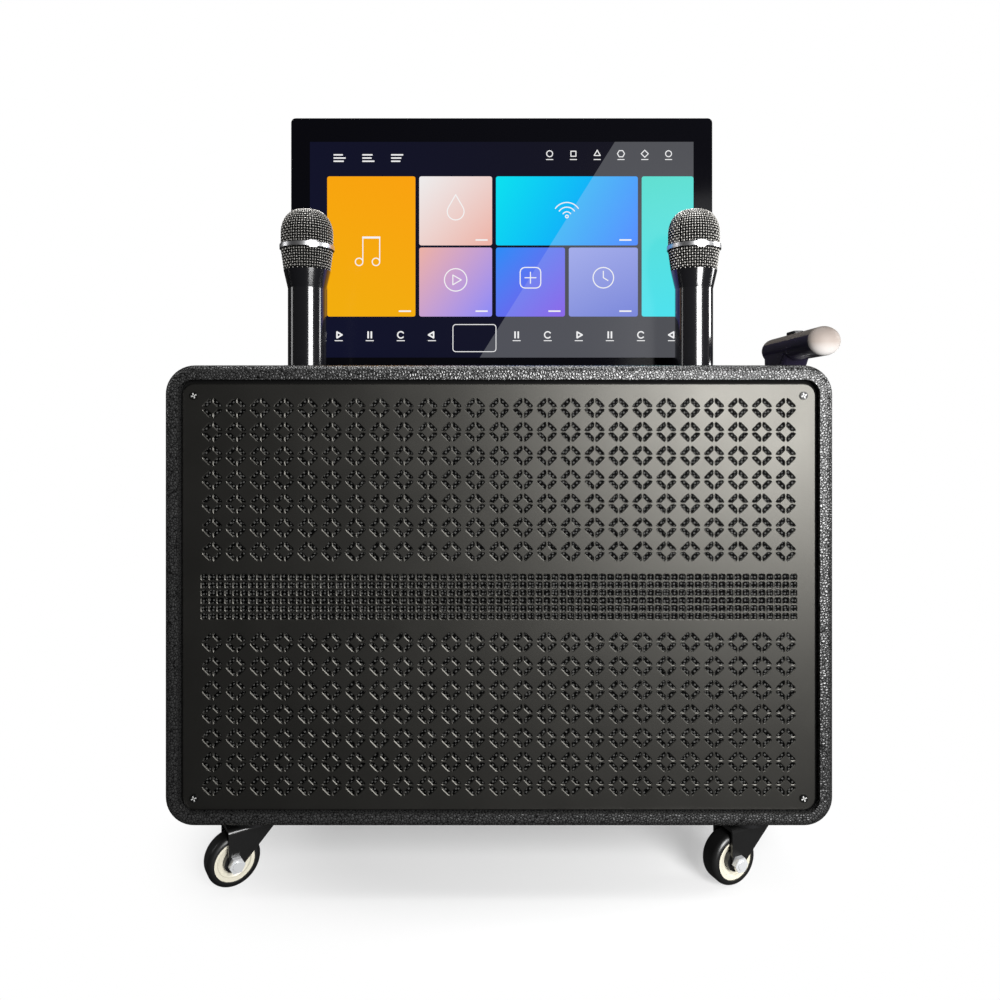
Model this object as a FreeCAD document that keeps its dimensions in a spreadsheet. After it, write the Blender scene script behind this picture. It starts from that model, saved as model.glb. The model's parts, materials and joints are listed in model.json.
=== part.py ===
import FreeCAD, Part
import os
import Sketcher
from types import SimpleNamespace
from FreeCAD import Placement, Rotation, Vector

# Trolley karaoke machine: a leatherette speaker box on casters, a lift-up screen, two microphones
# standing in cups and a telescopic pull handle on the right side.
# Millimetres. X to the right, Y to the back, Z up. The origin is on the floor under the box's middle.

SIZES = [
    # box
    ("box_width", 600), ("box_depth", 240), ("box_height", 414), ("box_corner", 26), ("box_edge", 7),
    ("wall", 13), ("wall_corner", 13), ("ride_height", 65), ("overrun", 1), ("board_fit", 0.3),
    # front grille and cloth
    ("grille_recess", 5), ("grille_gap", 2), ("grille_drop", 1.4), ("grille_thick", 1.2),
    ("grille_corner", 11), ("motif_columns", 25), ("motif_rows", 7), ("motif_pitch", 21.5),
    ("motif_span", 18.9),
    ("field_rise", 105.4), ("slot_bridge", 2.25), ("slots_per_motif", 3), ("slot_width", 5.2),
    ("slot_height", 40.4), ("cloth_thick", 0.8), ("cloth_notch", 33), ("grille_screw_inset", 11),
    # baffle and drivers
    ("baffle_thick", 15), ("baffle_rim", 9), ("rim_width", 18),
    ("woofer_spread", 150), ("woofer_radius", 83), ("woofer_cutout", 72), ("flange_thick", 4),
    ("basket_depth", 44), ("basket_radius", 44), ("basket_wall", 2), ("magnet_radius", 45),
    ("magnet_thick", 18), ("cone_depth", 26), ("cone_wall", 1.2), ("cone_inner", 20), ("surround_width", 12),
    ("dome_rise", 3), ("tweeter_spread", 62), ("tweeter_rise", 128), ("tweeter_radius", 27),
    ("tweeter_depth", 24),
    # screws
    ("screw_head", 3.5), ("screw_head_rise", 1.6), ("screw_shank", 1.7), ("screw_length", 13),
    # rear panel and control tray
    ("rear_recess", 2), ("rear_thick", 12), ("rear_screw_inset", 12),
    ("tray_width", 300), ("tray_height", 112), ("tray_depth", 24), ("tray_sheet", 1.5), ("tray_flange", 10),
    ("tray_drop", 32), ("tray_fit", 0.4),
    ("knob_radius", 9), ("knob_crown", 7.7), ("knob_rise", 14), ("knob_gap", 0.6), ("knob_spacing", 38),
    ("knob_up", 24), ("knob_start", 110), ("flute_width", 1.4), ("flute_start", 2.7), ("shaft_radius", 3),
    ("shaft_fit", 0.05), ("bush_radius", 4.5), ("pot_side", 16), ("pot_depth", 9),
    ("rocker_length", 19), ("rocker_width", 11), ("rocker_rise", 4), ("rocker_depth", 9), ("rocker_fit", 0.5),
    ("rocker_pin", 1.2), ("rocker_lean", 8), ("rocker_left", 118), ("rocker_up", 24),
    ("inlet_width", 27), ("inlet_height", 20), ("inlet_rim", 4), ("inlet_depth", 22), ("inlet_left", 112),
    ("inlet_down", 22), ("pin_radius", 1.6), ("pin_spacing", 7), ("pin_rise", 4.5), ("inlet_well", 13),
    ("jack_bore", 3.2), ("jack_nut", 7), ("jack_nut_rise", 3), ("jack_body", 8.5), ("jack_depth", 20),
    ("jack_spacing", 34), ("jack_start", 40), ("jack_down", 22),
    ("line_step", 15), ("line_bore", 1.8), ("line_rim", 4.2), ("line_rise", 7), ("line_start", 50),
    ("line_depth", 8),
    # boards inside
    ("board_thick", 1.6), ("board_part", 14), ("board_foot", 5), ("amp_width", 210), ("amp_height", 90),
    ("sink_fin", 2), ("sink_pitch", 7), ("sink_rise", 20), ("fin_count", 13),
    ("player_width", 150), ("player_depth", 44), ("player_side", 95), ("disk_width", 101.6),
    ("disk_length", 146), ("disk_thick", 26.1), ("disk_side", 145),
    ("supply_width", 160), ("supply_depth", 42), ("supply_height", 58), ("supply_side", 150),
    ("battery_width", 181), ("battery_depth", 76), ("battery_height", 75), ("battery_edge", 3),
    ("battery_side", 150),
    # microphone cups and microphones
    ("mic_spread", 191.5), ("mic_forward", 44), ("mic_rise", 157.2), ("mic_sink", 93),
    ("cup_wall", 2.5), ("cup_play", 2), ("cup_flange", 8), ("cup_flange_rise", 2.5), ("cup_floor", 3),
    ("mic_radius", 18.5), ("mic_tail", 16), ("mic_tail_run", 60), ("neck_radius", 22.6), ("neck_run", 18),
    ("head_drop", 60), ("head_radius", 25.4), ("head_wall", 1.2), ("head_dome", 23), ("head_seat", 3),
    ("band_drop", 39.6), ("band_radius", 26.4), ("band_height", 4.6), ("band_fit", 0.05), ("band_edge", 0.35),
    ("mic_cavity", 12), ("mic_edge", 3), ("switch_drop", 118), ("switch_length", 12), ("switch_width", 7),
    ("switch_rise", 1.8), ("switch_travel", 4), ("switch_fit", 0.25), ("switch_depth", 2.4),
    # lift-up screen
    ("screen_width", 450), ("screen_height", 281), ("screen_rise", 271.3), ("screen_back", 16.6),
    ("glass_thick", 3), ("glass_corner", 5), ("housing_depth", 30), ("housing_edge", 6), ("housing_rim", 1.5),
    ("housing_wall", 3), ("panel_thick", 14),
    ("slot_play", 3), ("trim_width", 8), ("trim_rise", 2), ("trim_lip", 1.2),
    ("carriage_thick", 3), ("carriage_up", 70), ("carriage_down", 88), ("carriage_window", 40),
    ("carriage_sill", 10), ("shoe_length", 60), ("shoe_width", 9), ("shoe_side", 11), ("rail_wall", 2),
    ("rail_fit", 0.3),
    # pull handle
    ("handle_out", 12.4), ("pole_back", 36), ("tube_radius", 11), ("tube_wall", 1.2), ("tube_fit", 0.1),
    ("tube_foot", 28), ("tube_drop", 9), ("stage_step", 7), ("collar_gap", 0.3), ("collar_rise", 6),
    ("collar_radius", 11.4), ("bracket_height", 30), ("bracket_wall", 4), ("ear_length", 16),
    ("ear_thick", 4),
    ("grip_rise", 26.3), ("grip_front", 64), ("grip_length", 140), ("grip_half_width", 15.7),
    ("grip_half_height", 14.3), ("front_cap_bulge", 11), ("rear_cap_bulge", 7),
    ("neck_drop", 28.7), ("neck_half_width", 14.5), ("neck_front", 19), ("neck_rear", 37),
    ("neck_straight", 8), ("neck_flare_front", 20), ("neck_flare_rear", 2), ("neck_round", 5),
    ("socket_depth", 22),
    ("socket_fit", 0.05), ("button_back", 14), ("button_length", 24), ("button_width", 11),
    ("button_rise", 2.5), ("button_depth", 6), ("button_travel", 2.5), ("button_fit", 0.3),
    ("button_round", 2.5),
    # casters
    ("caster_spread", 231.5), ("caster_reach", 81.5), ("left_turn", 34), ("right_turn", 24),
    ("caster_trail", 20), ("wheel_radius", 24), ("tyre_width", 20), ("tyre_thick", 5.8), ("tyre_round", 5),
    ("hub_width", 22), ("hub_bore", 4.05), ("hub_boss", 9.4), ("hub_web", 11), ("hub_dish", 14.4),
    ("hub_dish_width", 15), ("hub_lip", 0.8), ("hub_face", 17.4),
    ("fork_sheet", 2.4), ("fork_play", 0.5), ("fork_bend", 4), ("crown_thick", 3.5), ("crown_front", 17),
    ("crown_clear", 4), ("fork_eye", 6.5), ("race_radius", 22), ("race_gap", 0.4), ("axle_radius", 4),
    ("axle_fit", 0.05), ("nut_corner", 7.2), ("nut_thick", 5), ("bolt_end", 1),
    ("plate_length", 64), ("plate_width", 50), ("plate_thick", 2.5), ("plate_corner", 5),
    ("kingpin_radius", 5), ("kingpin_fit", 0.08), ("rivet_radius", 8), ("rivet_thick", 2),
    ("plate_screw_long", 24), ("plate_screw_wide", 17),
]

doc = FreeCAD.newDocument("karaoke_machine")
sheet = doc.addObject("Spreadsheet::Sheet", "Sizes")
for row, (alias, number) in enumerate(SIZES, 1):
    sheet.set(f"A{row}", alias)
    sheet.set(f"B{row}", str(number))
    sheet.setAlias(f"B{row}", alias)
doc.recompute()


class Size:
    """A number and the sheet expression that drives it."""

    def __init__(self, value, text):
        self.value = value
        self.text = text

    def __add__(self, other):
        other = sized(other)
        return Size(self.value + other.value, f"({self.text} + {other.text})")

    def __sub__(self, other):
        other = sized(other)
        return Size(self.value - other.value, f"({self.text} - {other.text})")

    def __mul__(self, other):
        other = sized(other)
        return Size(self.value * other.value, f"({self.text} * {other.text})")

    def __truediv__(self, other):
        other = sized(other)
        return Size(self.value / other.value, f"({self.text} / {other.text})")

    def __neg__(self):
        return Size(-self.value, f"(0 - {self.text})")

    __radd__ = __add__
    __rmul__ = __mul__


def sized(thing):
    """A Size, also of a plain count, share or zero."""
    return thing if isinstance(thing, Size) else Size(float(thing), str(thing))


d = SimpleNamespace(**{alias: Size(sheet.get(alias), f"Sizes.{alias}") for alias, number in SIZES})
ALONG = {
    "x": Rotation(Vector(0, 1, 0), 90),
    "y": Rotation(Vector(1, 0, 0), -90),
    "z": Rotation(),
}
nodes = []


def bind(obj, **sizes):
    for name, size in sizes.items():
        obj.setExpression(name, sized(size).text)


def place(obj, x, y, z, rotation=Rotation()):
    spot = [sized(x), sized(y), sized(z)]
    obj.Placement = Placement(Vector(*[size.value for size in spot]), rotation)
    for axis, size in zip("xyz", spot):
        obj.setExpression("Placement.Base." + axis, size.text)
    return obj


def node(obj, name):
    """Name a finished sub-part."""
    obj.Label = name
    nodes.append(obj)
    return obj


def block(name, wide, deep, tall, x, y, z):
    """A box centred on x and y, standing on z."""
    wide, deep = sized(wide), sized(deep)
    solid = doc.addObject("Part::Box", name)
    bind(solid, Length=wide, Width=deep, Height=tall)
    return place(solid, sized(x) - wide / 2, sized(y) - deep / 2, z)


def rod(name, radius, length, x, y, z, along="z"):
    """A cylinder from x, y, z in the direction of an axis."""
    solid = doc.addObject("Part::Cylinder", name)
    bind(solid, Radius=radius, Height=length)
    return place(solid, x, y, z, ALONG[along])


def joined(name, shapes):
    solid = doc.addObject("Part::MultiFuse", name)
    solid.Shapes = shapes
    return solid


def group(name, shapes):
    """Separate solids that share one node."""
    compound = doc.addObject("Part::Compound", name)
    compound.Links = shapes
    return compound


def cut(name, base, tools):
    solid = doc.addObject("Part::Cut", name)
    solid.Base = base
    solid.Tool = tools[0] if len(tools) == 1 else joined(name + "_tools", tools)
    return solid


def sketch_on(body, role, name):
    sketch = body.newObject("Sketcher::SketchObject", name)
    plane = [feature for feature in body.Origin.OriginFeatures if feature.Role == role][0]
    sketch.AttachmentSupport = [(plane, "")]
    sketch.MapMode = "FlatFace"
    return sketch


def pin_point(sketch, line, size, kind, axis):
    """Hold a line's first point at a distance from the sketch's origin."""
    if size.text == "0":
        sketch.addConstraint(Sketcher.Constraint("PointOnObject", line, 1, axis))
        return
    index = sketch.addConstraint(Sketcher.Constraint(kind, -1, 1, line, 1, size.value))
    sketch.setExpression(f"Constraints[{index}]", size.text)


def outline(sketch, points):
    """A closed run of straight lines through points given as sizes."""
    points = [(sized(across), sized(up)) for across, up in points]
    spots = [Vector(across.value, up.value, 0) for across, up in points]
    count = len(points)
    for line in range(count):
        sketch.addGeometry(Part.LineSegment(spots[line], spots[(line + 1) % count]), False)
    for line in range(count):
        sketch.addConstraint(Sketcher.Constraint("Coincident", line, 2, (line + 1) % count, 1))
    for line, (across, up) in enumerate(points):
        pin_point(sketch, line, across, "DistanceX", -2)
        pin_point(sketch, line, up, "DistanceY", -1)


def rectangle(sketch, wide, tall):
    right, top = sized(wide) / 2, sized(tall) / 2
    outline(sketch, [(-right, -top), (right, -top), (right, top), (-right, top)])


def turned(name, profile):
    """A body turned about its Z axis from a profile of radius and height."""
    body = doc.addObject("PartDesign::Body", name)
    sketch = sketch_on(body, "XZ_Plane", name + "_profile")
    outline(sketch, profile)
    turn = body.newObject("PartDesign::Revolution", name + "_turn")
    turn.Profile = sketch
    turn.ReferenceAxis = (sketch, ["V_Axis"])
    doc.recompute()
    return body


def slab(name, wide, tall, thick, role="XZ_Plane"):
    """A plate with its middle at the body's origin."""
    body = doc.addObject("PartDesign::Body", name)
    sketch = sketch_on(body, role, name + "_outline")
    rectangle(sketch, wide, tall)
    pad = body.newObject("PartDesign::Pad", name + "_pad")
    pad.Profile = sketch
    pad.SideType = "Symmetric"
    bind(pad, Length=thick)
    doc.recompute()
    return body


def rounded(body, radius, chosen):
    """Round the edges of the body that chosen picks."""
    doc.recompute()
    base = body.Tip
    names = [f"Edge{i}" for i, edge in enumerate(base.Shape.Edges, 1) if chosen(edge)]
    fillet = body.newObject("PartDesign::Fillet", f"{body.Name}_round{len(body.Group)}")
    fillet.Base = (base, names)
    bind(fillet, Radius=radius)
    doc.recompute()
    return body


def runs_along(axis):
    """A test for straight edges parallel to an axis."""
    def chosen(edge):
        if not isinstance(edge.Curve, Part.Line):
            return False
        return abs(abs(edge.Curve.Direction.dot(axis)) - 1) < TINY
    return chosen


def lies_at(axis, size):
    """A test for edges that lie in the plane where the axis has that value."""
    def chosen(edge):
        return all(abs(vertex.Point.dot(axis) - size.value) < TINY for vertex in edge.Vertexes)
    return chosen


def wider_than(size):
    """A test for round edges whose radius is larger than a size."""
    def chosen(edge):
        return hasattr(edge.Curve, "Radius") and edge.Curve.Radius > size.value + TINY
    return chosen


def through(body, tool_kind, sizes, x, y, z, along="z"):
    """Add a box or cylinder cut to a body."""
    cutter = body.newObject("PartDesign::Subtractive" + tool_kind, f"{body.Name}_cut{len(body.Group)}")
    bind(cutter, **sizes)
    return place(cutter, x, y, z, ALONG[along])


TINY = 1e-6
X_AXIS = Vector(1, 0, 0)
Y_AXIS = Vector(0, 1, 0)
Z_AXIS = Vector(0, 0, 1)
SIDES = (-1, 1)
ARC_CREST_SHARE = 1 - 0.5 ** 0.5
AMP_CAN_SHARES = (-0.42, -0.33, 0.33, 0.42)
SUPPLY_SLOT_SHARES = (0.3, 0.5, 0.7)
SWITCH_RIB_SHARES = (0.25, 0.45, 0.65)
INLET_PIN_SHARES = ((-1, -0.5), (0, 0.5), (1, -0.5))
EYE_CORNER_SHARE = 0.4

# Levels shared by many pieces
front = -d.box_depth / 2
back = d.box_depth / 2
side = d.box_width / 2
underside = d.ride_height
middle = d.ride_height + d.box_height / 2
top = d.ride_height + d.box_height
ceiling = top - d.wall
floor_inside = underside + d.wall
inner_width = d.box_width - d.wall * 2
inner_height = d.box_height - d.wall * 2
grille_front = front + d.grille_recess
grille_width = inner_width - d.grille_gap * 2
grille_height = inner_height - d.grille_gap * 2
cloth_front = grille_front + d.grille_thick
rim_front = cloth_front + d.cloth_thick
board_front = rim_front + d.baffle_rim
board_back = board_front + d.baffle_thick
rear_outer = back - d.rear_recess
rear_inner = rear_outer - d.rear_thick
cup_radius = d.mic_radius + d.cup_play + d.cup_wall
mic_y = -d.mic_forward
slot_width = d.screen_width + d.slot_play * 2
screen_depth = d.glass_thick + d.housing_depth
slot_depth = screen_depth + d.carriage_thick + d.slot_play * 2
slot_y = d.screen_back + (screen_depth + d.carriage_thick) / 2
screen_top = top + d.screen_rise
screen_foot = screen_top - d.screen_height
carriage_y = d.screen_back + screen_depth + d.carriage_thick / 2
handle_x = side + d.handle_out
pole_y = d.pole_back
grille_z = middle - d.grille_drop
grille_screw_x = grille_width / 2 - d.grille_screw_inset
grille_screw_z = grille_height / 2 - d.grille_screw_inset
outer_low = underside + d.tube_foot
outer_high = top - d.tube_drop
middle_radius = d.tube_radius - d.tube_wall - d.tube_fit
inner_radius = middle_radius - d.tube_wall - d.tube_fit
grip_z = top + d.grip_rise


def box_shell():
    """The box: a rounded sleeve open at the front and the back, with openings in its top."""
    shell = slab("shell", d.box_width, d.box_height, d.box_depth)
    rounded(shell, d.box_corner, runs_along(Y_AXIS))
    outer_front = lies_at(Y_AXIS, front)
    outer_back = lies_at(Y_AXIS, back)
    rounded(shell, d.box_edge, lambda edge: outer_front(edge) or outer_back(edge))
    hollow_depth = d.box_depth + d.overrun * 2
    hollow = slab("shell_hollow", inner_width, inner_height, hollow_depth)
    rounded(hollow, d.wall_corner, runs_along(Y_AXIS))
    place(shell, 0, 0, middle)
    place(hollow, 0, 0, middle)
    drill = d.wall + d.overrun * 2
    tools = [hollow, block("shell_slot", slot_width, slot_depth, drill, 0, slot_y, ceiling - d.overrun)]
    for hand in SIDES:
        tools.append(rod(f"shell_cup_{hand + 1}", cup_radius, drill, d.mic_spread * hand, mic_y,
                         ceiling - d.overrun))
    node(cut("cabinet_shell", shell, tools), "cabinet_shell")


def ring_of_points(half_width, half_height, corner):
    """A rounded rectangle in the XZ plane, as one wire."""
    bend = corner * ARC_CREST_SHARE
    edges = []
    corners = [(1, 1), (-1, 1), (-1, -1), (1, -1)]
    ends = []
    for sx, sz in corners:
        first = Vector(sx * half_width, 0, sz * (half_height - corner))
        last = Vector(sx * (half_width - corner), 0, sz * half_height)
        crest = Vector(sx * (half_width - bend), 0, sz * (half_height - bend))
        if sx * sz < 0:
            first, last = last, first
        edges.append(Part.Arc(first, crest, last).toShape())
        ends.append((first, last))
    for index, (first, last) in enumerate(ends):
        edges.append(Part.makeLine(last, ends[(index + 1) % len(ends)][0]))
    return Part.Wire(Part.__sortEdges__(edges))


def window(points):
    """A closed straight-sided hole in the XZ plane, wound against the sheet's outline."""
    corners = [Vector(x, 0, z) for x, z in points]
    turn = (corners[1] - corners[0]).cross(corners[2] - corners[1])
    if turn.y < 0:
        corners.reverse()
    return Part.makePolygon(corners + corners[:1])


def motif_window(x, z):
    """The outline of one motif: a square on its tip with the tips cut flat."""
    near = d.slot_bridge.value / 2
    far = d.motif_span.value / 2
    upper = [(far, near), (near, far), (-near, far), (-far, near)]
    lower = [(-px, -pz) for px, pz in upper]
    return window([(x + px, z + pz) for px, pz in upper + lower])


def front_grille():
    """The perforated sheet: two fields of motif windows and a band of narrow slots between them."""
    pitch = d.motif_pitch.value
    columns, rows = int(d.motif_columns.value), int(d.motif_rows.value)
    wires = [ring_of_points(grille_width.value / 2, grille_height.value / 2, d.grille_corner.value)]
    for field in SIDES:
        for row in range(rows):
            z = field * d.field_rise.value + (row - (rows - 1) / 2) * pitch
            wires += [motif_window((column - (columns - 1) / 2) * pitch, z) for column in range(columns)]
    slots = columns * int(d.slots_per_motif.value)
    half, tall = d.slot_width.value / 2, d.slot_height.value / 2
    for slot in range(slots):
        x = (slot - (slots - 1) / 2) * pitch / d.slots_per_motif.value
        wires.append(window([(x - half, -tall), (x + half, -tall), (x + half, tall), (x - half, tall)]))
    for sx in SIDES:
        for sz in SIDES:
            spot = Vector(sx * grille_screw_x.value, 0, sz * grille_screw_z.value)
            wires.append(Part.Wire(Part.makeCircle(d.screw_shank.value + d.board_fit.value, spot, Y_AXIS)))
    sheet_metal = doc.addObject("Part::Feature", "front_grille")
    sheet_metal.Shape = Part.Face(wires).extrude(Y_AXIS * d.grille_thick.value)
    sheet_metal.Placement = Placement(Vector(0, grille_front.value, grille_z.value), Rotation())
    node(sheet_metal, "front_grille")


def screw_holes(name, radius, length, y, spots):
    return [rod(f"{name}_{i}", radius, length, x, y, z, "y") for i, (x, z) in enumerate(spots)]


def corner_spots(half_x, half_z, centre_z):
    return [(half_x * sx, centre_z + half_z * sz) for sx in SIDES for sz in SIDES]


def grille_cloth():
    """A dust cloth behind the grille, notched clear of the corner screws."""
    mid_y = cloth_front + d.cloth_thick / 2
    cloth = block("cloth_blank", grille_width, d.cloth_thick, grille_height, 0, mid_y,
                  grille_z - grille_height / 2)
    drill = d.cloth_thick + d.overrun * 2
    notches = []
    for i, (x, z) in enumerate(corner_spots(grille_width / 2, grille_height / 2, grille_z)):
        notches.append(block(f"cloth_notch_{i}", d.cloth_notch, drill, d.cloth_notch, x, mid_y,
                             z - d.cloth_notch / 2))
    node(cut("grille_cloth", cloth, notches), "grille_cloth")


def front_baffle():
    """The speaker board, with a raised rim that carries the grille."""
    wide, tall = inner_width - d.board_fit * 2, inner_height - d.board_fit * 2
    depth = d.baffle_rim + d.baffle_thick
    board = slab("baffle", wide, tall, depth)
    rounded(board, d.wall_corner, runs_along(Y_AXIS))
    place(board, 0, rim_front + depth / 2, middle)
    dish_tall = tall - d.rim_width * 2
    rim_inside = block("baffle_dish", wide - d.rim_width * 2, d.baffle_rim + d.overrun, dish_tall, 0,
                       rim_front + (d.baffle_rim - d.overrun) / 2, middle - dish_tall / 2)
    drill = d.baffle_thick + d.overrun * 2
    start = board_front - d.overrun
    tools = [rim_inside]
    for hand in SIDES:
        tools.append(rod(f"baffle_woofer_{hand + 1}", d.woofer_cutout, drill, d.woofer_spread * hand, start,
                         middle, "y"))
        tools.append(rod(f"baffle_tweeter_{hand + 1}", d.tweeter_radius - d.flange_thick, drill,
                         d.tweeter_spread * hand, start, middle + d.tweeter_rise, "y"))
    pilots = corner_spots(grille_screw_x, grille_screw_z, grille_z)
    tools += screw_holes("baffle_pilot", d.screw_shank, d.screw_length, rim_front - d.overrun, pilots)
    node(cut("front_baffle", board, tools), "front_baffle")


def facing_front(body, x, y, z):
    """Lay a turned piece on its side, its height pointing to the back."""
    return place(body, x, y, z, ALONG["y"])


def woofers():
    """Two bass drivers: pressed frames with their magnets, and paper cones in rolled surrounds."""
    frames, cones = [], []
    inner_cut = d.woofer_cutout - d.board_fit
    seat = d.woofer_radius - d.surround_width
    throat = d.basket_radius - d.basket_wall
    for hand in SIDES:
        frame = turned(f"woofer_frame_{hand + 1}", [
            (seat - d.cone_wall, 0), (d.woofer_radius, 0), (d.woofer_radius, d.flange_thick),
            (inner_cut, d.flange_thick), (d.basket_radius, d.basket_depth),
            (d.magnet_radius, d.basket_depth), (d.magnet_radius, d.basket_depth + d.magnet_thick),
            (0, d.basket_depth + d.magnet_thick), (0, d.basket_depth - d.basket_wall),
            (throat, d.basket_depth - d.basket_wall), (inner_cut - d.basket_wall, d.flange_thick),
            (seat - d.cone_wall, d.flange_thick)])
        frames.append(facing_front(frame, d.woofer_spread * hand, board_front - d.flange_thick, middle))
        cone = turned(f"woofer_cone_{hand + 1}", [
            (seat + d.surround_width / 2, 0), (seat + d.surround_width / 2, -d.cone_wall),
            (seat, -d.dome_rise), (seat - d.surround_width / 2, -d.cone_wall), (d.cone_inner, d.cone_depth),
            (d.cone_inner / 2, d.cone_depth - d.dome_rise), (0, d.cone_depth - d.dome_rise - d.cone_wall),
            (0, d.cone_depth - d.dome_rise), (d.cone_inner / 2, d.cone_depth - d.dome_rise + d.cone_wall),
            (d.cone_inner, d.cone_depth + d.cone_wall), (seat - d.surround_width / 2, 0),
            (seat, -d.dome_rise + d.cone_wall)])
        cones.append(facing_front(cone, d.woofer_spread * hand, board_front - d.flange_thick, middle))
    node(group("woofer_frames", frames), "woofer_frames")
    node(group("woofer_cones", cones), "woofer_cones")


def tweeters():
    units = []
    barrel = d.tweeter_radius - d.flange_thick - d.board_fit
    for hand in SIDES:
        unit = turned(f"tweeter_{hand + 1}", [
            (0, d.flange_thick / 2), (d.cone_inner / 2, d.flange_thick / 2), (d.cone_inner, 0),
            (d.tweeter_radius, 0), (d.tweeter_radius, d.flange_thick), (barrel, d.flange_thick),
            (barrel, d.tweeter_depth), (0, d.tweeter_depth)])
        units.append(facing_front(unit, d.tweeter_spread * hand, board_front - d.flange_thick,
                                  middle + d.tweeter_rise))
    node(group("tweeters", units), "tweeters")


tray_z = middle - d.tray_drop
tray_face = rear_outer - d.tray_depth
tray_open_width = d.tray_width + d.tray_sheet * 2 + d.tray_fit * 2
tray_open_height = d.tray_height + d.tray_sheet * 2 + d.tray_fit * 2
rear_screw_x = inner_width / 2 - d.rear_screw_inset
rear_screw_z = inner_height / 2 - d.rear_screw_inset
rear_screws = corner_spots(rear_screw_x, rear_screw_z, middle) + [(0, middle + rear_screw_z),
                                                                   (0, middle - rear_screw_z)]
knob_spots = [(d.knob_start - d.knob_spacing * i, tray_z + d.knob_up) for i in range(3)]
jack_spots = [(d.jack_start + d.jack_spacing * i, tray_z - d.jack_down) for i in range(2)]
line_spots = [(-d.line_start + d.line_step * i, tray_z - d.jack_down) for i in range(3)]
rocker_spot = (-d.rocker_left, tray_z + d.rocker_up)
inlet_spot = (-d.inlet_left, tray_z - d.inlet_down)
rocker_room_long = d.rocker_length + d.rocker_fit * 2
rocker_room_wide = d.rocker_width + d.rocker_fit * 2


def rear_panel():
    wide, tall = inner_width - d.board_fit * 2, inner_height - d.board_fit * 2
    board = slab("rear_board", wide, tall, d.rear_thick)
    rounded(board, d.wall_corner, runs_along(Y_AXIS))
    place(board, 0, rear_inner + d.rear_thick / 2, middle)
    drill = d.rear_thick + d.overrun * 2
    tools = [block("rear_tray_hole", tray_open_width, drill, tray_open_height, 0,
                   rear_inner + d.rear_thick / 2, tray_z - tray_open_height / 2)]
    tools += screw_holes("rear_hole", d.screw_shank, drill, rear_inner - d.overrun, rear_screws)
    node(cut("rear_panel", board, tools), "rear_panel")


def control_tray():
    """A pressed tray that sets the knobs and sockets back from the rear panel."""
    flange_wide = tray_open_width + d.tray_flange * 2
    flange_tall = tray_open_height + d.tray_flange * 2
    flange = block("tray_flange_sheet", flange_wide, d.tray_sheet, flange_tall, 0,
                   rear_outer + d.tray_sheet / 2, tray_z - flange_tall / 2)
    case_depth = d.tray_depth + d.tray_sheet
    case = block("tray_case", d.tray_width + d.tray_sheet * 2, case_depth, d.tray_height + d.tray_sheet * 2,
                 0, tray_face - d.tray_sheet + case_depth / 2, tray_z - d.tray_height / 2 - d.tray_sheet)
    well_depth = d.tray_depth + d.tray_sheet + d.overrun
    well = block("tray_well", d.tray_width, well_depth, d.tray_height, 0, tray_face + well_depth / 2,
                 tray_z - d.tray_height / 2)
    drill = d.tray_sheet + d.overrun * 2
    start = tray_face - d.tray_sheet - d.overrun
    tools = [well]
    tools += screw_holes("tray_bush", d.bush_radius, drill, start, knob_spots)
    tools += screw_holes("tray_jack", d.jack_nut - d.overrun, drill, start, jack_spots)
    tools += screw_holes("tray_line", d.line_rim - d.overrun, drill, start, line_spots)
    tools.append(block("tray_rocker", rocker_room_long, drill, rocker_room_wide, rocker_spot[0],
                       tray_face - d.tray_sheet / 2, rocker_spot[1] - rocker_room_wide / 2))
    tools.append(block("tray_inlet", d.inlet_width, drill, d.inlet_height, inlet_spot[0],
                       tray_face - d.tray_sheet / 2, inlet_spot[1] - d.inlet_height / 2))
    node(cut("control_tray", joined("tray_pressing", [flange, case]), tools), "control_tray")


def potentiometers():
    """Three volume controls behind the tray, each with a threaded bush through it."""
    controls = []
    behind = tray_face - d.tray_sheet - d.pot_depth
    for i, (x, z) in enumerate(knob_spots):
        can = block(f"pot_can_{i}", d.pot_side, d.pot_depth, d.pot_side, x, behind + d.pot_depth / 2,
                    z - d.pot_side / 2)
        bush = rod(f"pot_bush_{i}", d.bush_radius, d.pot_depth + d.tray_sheet * 2, x, behind, z, "y")
        bore = rod(f"pot_bore_{i}", d.shaft_radius + d.shaft_fit, d.pot_depth + d.tray_sheet * 2, x,
                   behind + d.tray_sheet, z, "y")
        controls.append(cut(f"pot_{i}", joined(f"pot_body_{i}", [can, bush]), [bore]))
    node(group("potentiometers", controls), "potentiometers")


def knobs():
    """Knobs with their shafts, turning in the bushes."""
    foot = tray_face + d.tray_sheet + d.knob_gap
    shaft_end = tray_face - d.tray_sheet - d.pot_depth + d.tray_sheet * 2
    for (x, z), name in zip(knob_spots, ("music_volume_knob", "echo_knob", "mic_volume_knob")):
        reach = foot - shaft_end
        knob = turned(name + "_body", [
            (0, -reach), (d.shaft_radius, -reach), (d.shaft_radius, 0), (d.knob_radius, 0),
            (d.knob_crown, d.knob_rise), (0, d.knob_rise)])
        through(knob, "Box", {"Length": d.flute_width, "Width": d.knob_radius, "Height": d.knob_rise},
                -d.flute_width / 2, d.flute_start, d.knob_rise - d.flute_width)
        rim = lies_at(Z_AXIS, d.knob_rise)
        rounded(knob, d.knob_gap, lambda edge: rim(edge) and edge.Length > d.knob_radius.value * 2)
        place(knob, x, foot, z, ALONG["y"])
        node(knob, name)


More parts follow.
